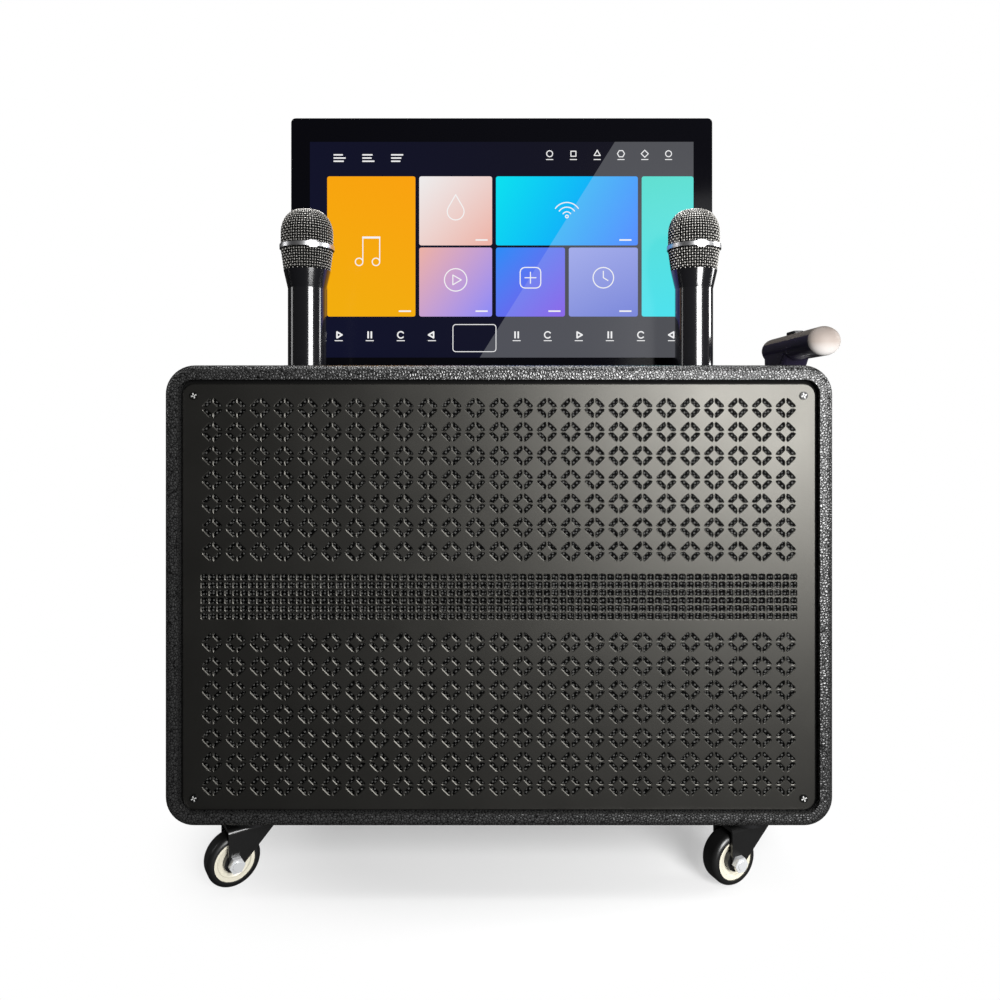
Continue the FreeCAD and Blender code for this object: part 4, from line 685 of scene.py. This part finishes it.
def plain_parts(sheet, low, high, middle_z):
    """The sheet's plain margins, its rounded border and its edge."""
    field_half = MOTIF_ROWS * MOTIF_PITCH / 2
    field_top, field_foot = FIELD_RISE + field_half, FIELD_RISE - field_half
    band_half = HOLE_ROWS * HOLE_STEP / 2
    right = FIELD_WIDTH / 2
    for side in (-1, 1):
        bottom, top = sorted((middle_z + side * field_foot, middle_z + side * band_half))
        flat_face(sheet, [(-right, bottom), (right, bottom), (right, top), (-right, top)], low.y)
    width, height = high.x - low.x, high.z - low.z
    border = round_rectangle(width, height, GRILLE_CORNER, GRILLE_CORNER_STEPS)
    lip = round_rectangle(width - 2 * LIP_WIDTH, height - 2 * LIP_WIDTH, GRILLE_CORNER - LIP_WIDTH,
                          GRILLE_CORNER_STEPS)
    inner = [(max(-right, min(right, x)), max(-field_top, min(field_top, z))) for x, z in border]
    rings = []
    for points, y in ((inner, low.y), (lip, low.y), (border, low.y + LIP_DEPTH), (border, high.y)):
        rings.append([sheet.verts.new((x, y, middle_z + z)) for x, z in points])
    count = len(border)
    for first, second in zip(rings, rings[1:]):
        for i in range(count):
            j = (i + 1) % count
            corners = [first[i], first[j], second[j], second[i]]
            if (first[i].co - first[j].co).length < MERGE:
                corners = [first[i], second[j], second[i]]
            sheet.faces.new(corners)


def front_grille():
    low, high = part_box("front_grille")
    middle_z = (low.z + high.z) / 2
    thick = high.y - low.y
    sheet = bmesh.new()
    slot_fields(sheet, low.y, thick, middle_z)
    hole_band(sheet, low.y, thick, middle_z)
    plain_parts(sheet, low, high, middle_z)
    bmesh.ops.remove_doubles(sheet, verts=sheet.verts, dist=SHEET_MERGE)
    finished("perforated_grille", sheet, "cabinet", LOOKS["sheet_black"], ["front_grille"])


front_grille()


# Screen picture: a plain menu of coloured tiles with simple line signs, and a bright glare across one side

PICTURE_WIDTH = 409.8 * MM
PICTURE_HEIGHT = 230.4 * MM
PICTURE_LIFT = 0.12 * MM
TILE_CORNER = 2.2 * MM
STROKE_OVERLAP = 0.6
SIGN_LINE = 1.1 * MM
BAR_LINE = 1.0 * MM
CAPTION_LINE = 0.9 * MM
CAPTION_DROP = 6.2 * MM
CYAN, BLUE, DEEP_BLUE = (0.0, 0.75, 0.86), (0.0, 0.19, 1.0), (0.02, 0.26, 0.93)
VIOLET, SOFT_BLUE, PALE_BLUE = (0.2, 0.06, 0.8), (0.11, 0.16, 0.66), (0.33, 0.38, 0.82)
ORANGE, AMBER, PALE = (0.95, 0.36, 0.0), (0.88, 0.42, 0.0), (0.85, 0.84, 0.84)
ROSE, LILAC, TEAL = (0.84, 0.44, 0.37), (0.25, 0.25, 0.93), (0.04, 0.72, 0.6)
NIGHT_BLUE, NIGHT, SIGN_WHITE = (0.003, 0.004, 0.02), (0.004, 0.0035, 0.006), grey(0.9)
NIGHT_ANGLE = 25
GLARE_CORNERS = ((0.443, 0), (1, 0), (1, 1), (0.795, 1))
GLARE_STRENGTH = 0.085

# Each tile: left, right, bottom and top shares of the picture, two colours and the way they fade
TILE_SHARES = [
    ("orange_tile", 0.045, 0.275, 0.19, 0.84, AMBER, ORANGE, 70),
    ("pale_tile", 0.285, 0.475, 0.52, 0.84, PALE, ROSE, -45),
    ("lilac_tile", 0.285, 0.475, 0.19, 0.51, ROSE, LILAC, -40),
    ("cyan_tile", 0.485, 0.855, 0.52, 0.84, CYAN, BLUE, -30),
    ("blue_tile", 0.485, 0.665, 0.19, 0.51, DEEP_BLUE, VIOLET, -45),
    ("haze_tile", 0.675, 0.855, 0.19, 0.51, PALE_BLUE, SOFT_BLUE, -60),
    ("teal_tile", 0.865, 1.0, 0.19, 0.84, TEAL, CYAN, -80),
]
TILE_CAPTIONS = ((0.25, 0.215), (0.45, 0.545), (0.45, 0.215), (0.825, 0.545), (0.64, 0.215), (0.825, 0.215))

# Each shape on the top bar: radius, corners and turn in degrees
TOP_SHAPES = [(3.2 * MM, 16, 0), (3.8 * MM, 4, 45), (3.8 * MM, 3, 90), (3.8 * MM, 6, 0), (3.8 * MM, 4, 0),
              (3.2 * MM, 16, 0)]
STACK_REACHES = (5 * MM, 7 * MM, 4 * MM)


def picture_spot(u, v):
    """A point of the picture from its shares of width and height."""
    low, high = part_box("screen_glass")
    return Vector(((low.x + high.x) / 2 + (u - 0.5) * PICTURE_WIDTH,
                   (low.z + high.z) / 2 + (v - 0.5) * PICTURE_HEIGHT))


def at_depth(point, y):
    """A point of the picture as a place in the room."""
    return Vector((point.x, y, point.y))


def stroke(bm, points, width, y, closed=False):
    """A line of even width through points, as flat quads with overlapping ends."""
    pairs = list(zip(points, points[1:] + points[:1] if closed else points[1:]))
    for start, end in pairs:
        along = (end - start).normalized() * width / 2
        across = Vector((-along.y, along.x))
        first, last = start - along * STROKE_OVERLAP, end + along * STROKE_OVERLAP
        flat_face(bm, [first - across, last - across, last + across, first + across], y)


def ring_points(centre, radius, count=20, start=0.0, sweep=math.tau):
    """Points round a ring, or along an arc of it with both its ends."""
    turns = [start + sweep * i / count for i in range(count + (sweep < math.tau))]
    return [centre + radius * Vector((math.cos(turn), math.sin(turn))) for turn in turns]


def box_points(centre, width, height, corner):
    return [centre + Vector(point) for point in round_rectangle(width, height, corner, 3)]


def polygon_points(centre, radius, count, turn_degrees):
    return ring_points(centre, radius, count, math.radians(turn_degrees))


def screen_picture():
    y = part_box("screen_glass")[0].y - PICTURE_LIFT
    corners = [picture_spot(u, v) for u, v in ((0, 0), (1, 0), (1, 1), (0, 1))]
    left_low, right_high = at_depth(corners[0], y), at_depth(corners[2], y)
    lit = bmesh.new()
    flat_face(lit, corners, y + PICTURE_LIFT * 0.5)
    night = glowing("picture_night", NIGHT_BLUE, NIGHT, NIGHT_ANGLE, left_low, right_high)
    finished("screen_backdrop", lit, "screen", night)
    for name, left, right, bottom, top, first, second, angle in TILE_SHARES:
        low, high = picture_spot(left, bottom), picture_spot(right, top)
        bm = bmesh.new()
        flat_face(bm, box_points((low + high) / 2, high.x - low.x, high.y - low.y, TILE_CORNER), y)
        look = glowing(name, first, second, angle, at_depth(low, y), at_depth(high, y))
        finished(name, bm, "screen", look)
    signs = bmesh.new()
    sign_y = y - PICTURE_LIFT * 0.5
    for draw, u, v in TILE_SIGNS:
        draw(signs, picture_spot(u, v), sign_y)
    tile_captions(signs, sign_y)
    top_bar(signs, sign_y)
    bottom_bar(signs, sign_y)
    white = glowing("picture_white", SIGN_WHITE, SIGN_WHITE, 0, left_low, right_high)
    finished("screen_signs", signs, "screen", white)
    screen_glare(y - PICTURE_LIFT)


def note_sign(bm, spot, y):
    """Two notes under one beam."""
    stem, spread, head = 26 * MM, 9 * MM, 4 * MM
    for dx in (-spread, spread):
        foot = spot + Vector((dx, -stem / 2))
        stroke(bm, ring_points(foot - Vector((head, 0)), head), SIGN_LINE, y, True)
        stroke(bm, [foot, foot + Vector((0, stem))], SIGN_LINE, y)
    beam = [spot + Vector((dx, stem / 2)) for dx in (-spread, spread)]
    stroke(bm, beam, SIGN_LINE * 2, y)


def drop_sign(bm, spot, y):
    """A drop: most of a ring, closed by a point above it."""
    tip_rise, bowl_drop, radius = 15 * MM, 3 * MM, 9 * MM
    bowl = ring_points(spot - Vector((0, bowl_drop)), radius, 18, math.radians(150), math.radians(240))
    stroke(bm, [spot + Vector((0, tip_rise))] + bowl, SIGN_LINE, y, True)


def arrow_sign(bm, spot, y):
    """An arrow head in a ring."""
    ring_radius, head_radius = 12 * MM, 6 * MM
    stroke(bm, ring_points(spot, ring_radius, 28), SIGN_LINE, y, True)
    stroke(bm, polygon_points(spot, head_radius, 3, 0), SIGN_LINE, y, True)


def arcs_sign(bm, spot, y):
    """Three arcs over a dot."""
    dot_drop, dot_radius = 6 * MM, 1.5 * MM
    centre = spot - Vector((0, dot_drop))
    for radius in (5 * MM, 10 * MM, 15 * MM):
        stroke(bm, ring_points(centre, radius, 16, math.radians(35), math.radians(110)), SIGN_LINE, y)
    stroke(bm, ring_points(centre, dot_radius, 10), SIGN_LINE, y, True)


def cross_sign(bm, spot, y):
    """A cross in a rounded square."""
    side, corner, arm = 22 * MM, 5 * MM, 6 * MM
    stroke(bm, box_points(spot, side, side, corner), SIGN_LINE, y, True)
    for way in (Vector((arm, 0)), Vector((0, arm))):
        stroke(bm, [spot - way, spot + way], SIGN_LINE, y)


def clock_sign(bm, spot, y):
    """A ring with two hands."""
    radius = 11 * MM
    long_hand, short_hand = Vector((0, 7 * MM)), Vector((5 * MM, -3 * MM))
    stroke(bm, ring_points(spot, radius, 24), SIGN_LINE, y, True)
    stroke(bm, [spot + long_hand, spot, spot + short_hand], SIGN_LINE, y)


# Each tile's sign, with its place as shares of the picture
TILE_SIGNS = [(note_sign, 0.16, 0.5), (drop_sign, 0.38, 0.69), (arrow_sign, 0.38, 0.36),
              (arcs_sign, 0.67, 0.68), (cross_sign, 0.575, 0.37), (clock_sign, 0.765, 0.37)]


def tile_captions(bm, y):
    """A short thick line in a corner of most tiles."""
    before, after, thick = Vector((7 * MM, 0)), Vector((5 * MM, 0)), 1.6 * MM
    for u, v in TILE_CAPTIONS:
        spot = picture_spot(u, v)
        stroke(bm, [spot - before, spot + after], thick, y)


def sign_caption(bm, spot, reach, y):
    """A short line under a sign on one of the bars."""
    stroke(bm, [spot - Vector((reach, CAPTION_DROP)), spot + Vector((reach, -CAPTION_DROP))], CAPTION_LINE, y)


def top_bar(bm, y):
    """Plain shapes along the right of the top bar, and three stacks of lines at its left."""
    first_shape, shape_step, shape_level, caption_reach = 0.625, 0.062, 0.945, 3.5 * MM
    stack_level, line_step, line_back, line_thick = 0.925, 3.4 * MM, 5 * MM, 1.5 * MM
    for i, (radius, corners, turn) in enumerate(TOP_SHAPES):
        spot = picture_spot(first_shape + shape_step * i, shape_level)
        stroke(bm, polygon_points(spot, radius, corners, turn), BAR_LINE, y, True)
        sign_caption(bm, spot, caption_reach, y)
    for i, u in enumerate((0.075, 0.15, 0.225)):
        spot = picture_spot(u, stack_level)
        for line in range(3):
            reach = STACK_REACHES[(line + i) % 3]
            level = (line - 1) * line_step
            stroke(bm, [spot + Vector((-line_back, level)), spot + Vector((reach, level))], line_thick, y)


def bottom_bar(bm, y):
    """Triangles, pairs of bars and open rings in turn along the bottom bar, and an empty frame."""
    first_sign, sign_step, frame_gap, level, caption_reach = 0.075, 0.081, 0.14, 0.105, 4 * MM
    bar_half, bar_offset = 3.2 * MM, 1.7 * MM
    for i in range(10):
        spot = picture_spot(first_sign + sign_step * i + frame_gap * (i > 3), level)
        if i % 3 == 0:
            stroke(bm, polygon_points(spot, 3.6 * MM, 3, 180 * (i % 2)), BAR_LINE * 1.6, y, True)
        elif i % 3 == 1:
            for dx in (-bar_offset, bar_offset):
                stroke(bm, [spot + Vector((dx, -bar_half)), spot + Vector((dx, bar_half))], BAR_LINE * 1.7, y)
        else:
            stroke(bm, ring_points(spot, 3.4 * MM, 16, 0.6, 5.0), BAR_LINE * 1.3, y)
        sign_caption(bm, spot, caption_reach, y)
    stroke(bm, box_points(picture_spot(0.429, 0.09), 46 * MM, 29 * MM, 3 * MM), 0.8 * MM, y, True)


def screen_glare(y):
    """A reflected bright patch with a slanted edge, laid over one side of the picture."""
    look = bpy.data.materials.new("screen_glare")
    look.use_nodes = True
    tree = look.node_tree
    tree.nodes.remove(shader_of(look))
    clear = wired(tree, "ShaderNodeBsdfTransparent", Color=(0.9, 0.9, 0.9, 1))
    shine = wired(tree, "ShaderNodeEmission", Color=(0.9, 0.93, 1.0, 1), Strength=GLARE_STRENGTH)
    both = wired(tree, "ShaderNodeAddShader", _0=clear.outputs[0], _1=shine.outputs[0])
    tree.links.new(both.outputs[0], tree.nodes["Material Output"].inputs["Surface"])
    bm = bmesh.new()
    flat_face(bm, [picture_spot(u, v) for u, v in GLARE_CORNERS], y)
    finished("screen_glare", bm, "screen", look)


screen_picture()


# Microphone heads: wires woven over the dark foam, and a bare plate on each band

WIRE = 0.42 * MM
WIRE_SIDES = 3
WIRE_TURN = 0.5
MERIDIANS = 58
WEAVE_ROWS = 28
HEAD_DOME = 23 * MM
DOME_STEPS = 24
CROWN_FLAT = 8 * MM
CROWN_HOLE = 2.5 * MM
NECK_RADIUS = 22.6 * MM
BAND_DROP = 39.6 * MM
FOAM_SHARE, WEAVE_SHARE, SWAY_SHARE = 3.6, 1.8, 0.8
FOAM_STEPS = 48
HEAD_SHARP_DEGREES = 60
PLATE_SIZE = Vector((8.4 * MM, 1.6 * MM, 7 * MM))
PLATE_EDGE = 0.3 * MM
PLATE_SINK = 0.3 * MM
PLATE_TURNS = {"left": 27, "right": 3}
PLATE_SHARP_DEGREES = 40


def mic_heads():
    for side in ("left", "right"):
        node = f"{side}_mic_grille"
        low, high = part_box(node)
        axis = Vector(((low.x + high.x) / 2, (low.y + high.y) / 2, 0))
        outline = head_outline((high.x - low.x) / 2, low.z, high.z)
        weave = bmesh.new()
        woven_head(weave, axis, sunk(outline, WIRE * WEAVE_SHARE))
        finished(f"{side}_mic_weave", weave, f"{side}_mic", LOOKS["mic_wire_painted_glints"], [node],
                 HEAD_SHARP_DEGREES)
        foam = bmesh.new()
        core = sunk(outline, WIRE * FOAM_SHARE)
        turned(foam, [(0, core[0].y), *core, (0, core[-1].y)], FOAM_STEPS, axis)
        finished(f"{side}_mic_foam", foam, f"{side}_mic", LOOKS["foam"], (), HEAD_SHARP_DEGREES)


def head_outline(radius, bottom, top):
    """Points of radius and height from the head's foot to its crown, evenly spaced."""
    shoulder = top - HEAD_DOME
    path = [Vector((NECK_RADIUS, bottom)), Vector((radius, top - BAND_DROP)), Vector((radius, shoulder))]
    for i in range(1, DOME_STEPS + 1):
        turn = math.pi / 2 * i / DOME_STEPS
        path.append(Vector((CROWN_FLAT + (radius - CROWN_FLAT) * math.cos(turn),
                            shoulder + HEAD_DOME * math.sin(turn))))
    path.append(Vector((CROWN_HOLE, top)))
    lengths = [0.0]
    for first, second in zip(path, path[1:]):
        lengths.append(lengths[-1] + (second - first).length)
    points = []
    leg = 0
    for i in range(WEAVE_ROWS + 1):
        run = lengths[-1] * i / WEAVE_ROWS
        while leg < len(path) - 2 and lengths[leg + 1] < run:
            leg += 1
        share = (run - lengths[leg]) / (lengths[leg + 1] - lengths[leg])
        points.append(path[leg].lerp(path[leg + 1], share))
    return points


def outward(outline):
    """Unit normals of an outline that runs upward."""
    befores, afters = outline[:1] + outline[:-1], outline[1:] + outline[-1:]
    return [Vector((after.y - before.y, before.x - after.x)).normalized()
            for before, after in zip(befores, afters)]


def sunk(outline, depth):
    """An outline moved inward by a depth."""
    return [point - way * depth for point, way in zip(outline, outward(outline))]


def thread(bm, points, overs, closed=False):
    """A thin three-sided wire through points, marked where it passes over another, which is where its painted
    glints go.
    """
    crest = bm.verts.layers.float["crest"]
    turns = [WIRE_TURN + math.tau * side / WIRE_SIDES for side in range(WIRE_SIDES)]
    rings = []
    count = len(points)
    for i, point in enumerate(points):
        before = points[i - 1] if closed or i else point
        after = points[(i + 1) % count] if closed or i < count - 1 else point
        along = (after - before).normalized()
        out = along.orthogonal().normalized()
        over = along.cross(out)
        rings.append([bm.verts.new(point + WIRE * (out * math.cos(turn) + over * math.sin(turn)))
                      for turn in turns])
    for ring, over in zip(rings, overs):
        for vert in ring:
            vert[crest] = over
    pairs = list(zip(rings, rings[1:] + rings[:1] if closed else rings[1:]))
    for first, second in pairs:
        for i in range(WIRE_SIDES):
            j = (i + 1) % WIRE_SIDES
            bm.faces.new((first[i], first[j], second[j], second[i]))


def woven_head(bm, axis, outline):
    """Rings and risers that pass over and under one another."""
    ways = outward(outline)
    bm.verts.layers.float.new("crest")

    def crossing(column, row, over):
        sway = WIRE * SWAY_SHARE * (1 if over else -1)
        radius, height = outline[row] + ways[row] * sway
        turn = math.tau * column / MERIDIANS
        return axis + Vector((radius * math.cos(turn), radius * math.sin(turn), height))

    for row in range(1, WEAVE_ROWS):
        overs = [(column + row) % 2 for column in range(MERIDIANS)]
        thread(bm, [crossing(column, row, over) for column, over in enumerate(overs)], overs, True)
    for column in range(MERIDIANS):
        overs = [(column + row + 1) % 2 for row in range(WEAVE_ROWS + 1)]
        thread(bm, [crossing(column, row, over) for row, over in enumerate(overs)], overs)


def band_plates():
    """A small bare plate on each head's band, turned as its microphone stands in the cup."""
    for side, turn_degrees in PLATE_TURNS.items():
        low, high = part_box(f"{side}_mic_band")
        middle = (low + high) / 2
        spin = Matrix.Rotation(math.radians(turn_degrees), 3, "Z")
        bm = bmesh.new()
        bmesh.ops.create_cube(bm, size=1.0)
        bmesh.ops.scale(bm, vec=PLATE_SIZE, verts=bm.verts)
        bmesh.ops.bevel(bm, geom=bm.edges, offset=PLATE_EDGE, segments=2, affect="EDGES", profile=0.5,
                        material=-1)
        bmesh.ops.translate(bm, vec=(0, low.y - middle.y + PLATE_SINK, 0), verts=bm.verts)
        bmesh.ops.rotate(bm, cent=(0, 0, 0), matrix=spin, verts=bm.verts)
        bmesh.ops.translate(bm, vec=middle, verts=bm.verts)
        finished(f"{side}_mic_plate", bm, f"{side}_mic", LOOKS["bright"], (),
                 PLATE_SHARP_DEGREES)


mic_heads()
band_plates()


# Small details: screw recesses, knob marks and the dotted scales round the knobs

SCREW_INSET = 11 * MM
RECESS_LENGTH, RECESS_WIDTH = 4.4 * MM, 1.1 * MM
RECESS_TURNS = (20, 110)
SKIN = 0.04 * MM
KNOBS = ("music_volume_knob", "echo_knob", "mic_volume_knob")
POINTER_START, POINTER_END, POINTER_WIDTH = 0.25, 0.75, 1.2 * MM
SCALE_DOTS, SCALE_START, SCALE_SWEEP = 11, -60, 300
SCALE_REACH = 1.5
DOT_RADIUS, DOT_CORNERS = 0.6 * MM, 10
TRAY_SHEET = 1.5 * MM


def screw_recesses():
    """Crossed driver slots on the heads of the grille's corner screws, painted light grey as glints on their
    edges.
    """
    low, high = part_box("front_grille")
    heads_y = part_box("panel_screws")[0].y
    middle_z = (low.z + high.z) / 2
    reach_x, reach_z = high.x - SCREW_INSET, (high.z - low.z) / 2 - SCREW_INSET
    bm = bmesh.new()
    for sx in (-1, 1):
        for sz in (-1, 1):
            spot = Vector((sx * reach_x, middle_z + sz * reach_z))
            for turn in RECESS_TURNS:
                way = Vector((math.cos(math.radians(turn)), math.sin(math.radians(turn)))) * RECESS_LENGTH / 2
                stroke(bm, [spot - way, spot + way], RECESS_WIDTH, heads_y - SKIN)
    finished("screw_recesses", bm, "cabinet", LOOKS["slot_painted_glint"])


def knob_marks():
    """A white pointer on each knob and a ring of dots on the tray round it."""
    tray_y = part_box("control_tray")[0].y + TRAY_SHEET
    for name in KNOBS:
        low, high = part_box(name)
        centre = Vector(((low.x + high.x) / 2, (low.z + high.z) / 2))
        radius = (high.x - low.x) / 2
        pointer = [centre - Vector((0, radius * share)) for share in (POINTER_START, POINTER_END)]
        bm = bmesh.new()
        stroke(bm, pointer, POINTER_WIDTH, high.y + SKIN)
        finished(name + "_pointer", bm, name, LOOKS["white_mark"])
        dots = bmesh.new()
        for i in range(SCALE_DOTS):
            turn = math.radians(SCALE_START + SCALE_SWEEP * i / (SCALE_DOTS - 1))
            spot = centre + radius * SCALE_REACH * Vector((math.cos(turn), math.sin(turn)))
            flat_face(dots, ring_points(spot, DOT_RADIUS, DOT_CORNERS), tray_y + SKIN)
        finished(name + "_scale", dots, "cabinet", LOOKS["white_mark"])


screw_recesses()
knob_marks()


# Stage: floor, light and camera

FLOOR_HALF = 12
FADE_START, FADE_END, FADE_LEAST = 0.16, 0.37, 0.25
FADE_SQUEEZE = (1.0, 1.6, 1.0)
AMBIENT = 0.04
CAMERA_SPOT = Vector((15.5 * MM, -815.7 * MM, 439.6 * MM))
CAMERA_LENS = 28.04
CAMERA_SENSOR = 36
CAMERA_SHIFT = (-0.0162, -0.091)
CAMERA_NEAR = 0.01

# Each lamp: its place, the point it faces, its width, height and power
LAMPS = {
    "key_light": ((0.56, -1.1, 0.6), (0.2, -0.1, 0.5), 0.55, 0.75, 34),
    "side_light": ((1.7, 0.2, 0.9), (0.2, 0, 0.4), 0.4, 1.0, 20),
    "fill_light": ((-1.7, -0.1, 0.9), (-0.2, 0, 0.4), 0.3, 0.9, 3),
    "back_light": ((0, 1.6, 0.22), (0, 0.1, 0.3), 0.9, 0.4, 40),
    "top_light": ((0.1, 0.1, 2.1), (0, 0, 0), 1.2, 1.2, 40),
}
UNREFLECTED_LAMP = "back_light"


def floor_sheet():
    bm = bmesh.new()
    bmesh.ops.create_grid(bm, x_segments=1, y_segments=1, size=FLOOR_HALF)
    floor_mesh = mesh_of("floor", bm)
    floor = linked("floor", floor_mesh)
    floor_mesh.materials.append(white_floor())


def white_floor():
    """A pale floor that fades to plain white away from the object."""
    look = surface("floor_white", grey(0.9), 0.9, 0.0)
    tree = look.node_tree
    far = vectors(tree, "LENGTH", vectors(tree, "MULTIPLY", place_of(tree), FADE_SQUEEZE))
    fade = wired(tree, "ShaderNodeMapRange", {"interpolation_type": "SMOOTHSTEP"}, Value=far,
                 From_Min=FADE_START, From_Max=FADE_END, To_Min=FADE_LEAST)
    seen = tree.nodes.new("ShaderNodeLightPath").outputs["Is Camera Ray"]
    paint(look, blend(tree, seen, grey(0.04), grey(0.7)))
    white = wired(tree, "ShaderNodeEmission", Color=(1, 1, 1, 1), Strength=1.0)
    share = maths(tree, "MULTIPLY", fade.outputs[0], seen)
    mixed = wired(tree, "ShaderNodeMixShader", _0=share, _1=shader_of(look).outputs[0], _2=white.outputs[0])
    tree.links.new(mixed.outputs[0], tree.nodes["Material Output"].inputs["Surface"])
    return look


def softbox(name, spot, target, width, height, power):
    """A rectangular lamp that faces a point."""
    light = bpy.data.lights.new(name, "AREA")
    light.shape = "RECTANGLE"
    light.size = width
    light.size_y = height
    light.energy = power
    holder = linked(name, light)
    holder.location = spot
    holder.rotation_euler = (Vector(target) - Vector(spot)).to_track_quat("-Z", "Y").to_euler()
    holder.visible_glossy = name != UNREFLECTED_LAMP


def white_room():
    """A world that the camera sees as white, and that lights the object only a little."""
    world = bpy.data.worlds.new("white_room")
    bpy.context.scene.world = world
    world.use_nodes = True
    tree = world.node_tree
    ambient = tree.nodes["Background"]
    ambient.inputs["Color"].default_value = (1, 1, 1, 1)
    ambient.inputs["Strength"].default_value = AMBIENT
    white = wired(tree, "ShaderNodeBackground", Color=(1, 1, 1, 1), Strength=1.0)
    seen = tree.nodes.new("ShaderNodeLightPath").outputs["Is Camera Ray"]
    mixed = wired(tree, "ShaderNodeMixShader", _0=seen, _1=ambient.outputs[0], _2=white.outputs[0])
    tree.links.new(mixed.outputs[0], tree.nodes["World Output"].inputs["Surface"])


def front_camera():
    camera = bpy.data.cameras.new("camera")
    camera.lens = CAMERA_LENS
    camera.sensor_width = CAMERA_SENSOR
    camera.shift_x, camera.shift_y = CAMERA_SHIFT
    camera.clip_start = CAMERA_NEAR
    holder = linked("camera", camera)
    holder.location = CAMERA_SPOT
    holder.rotation_euler = (math.radians(90), 0, 0)
    bpy.context.scene.camera = holder


floor_sheet()
for lamp_name, lamp in LAMPS.items():
    softbox(lamp_name, *lamp)
white_room()
front_camera()
bpy.context.scene.view_settings.view_transform = "Standard"
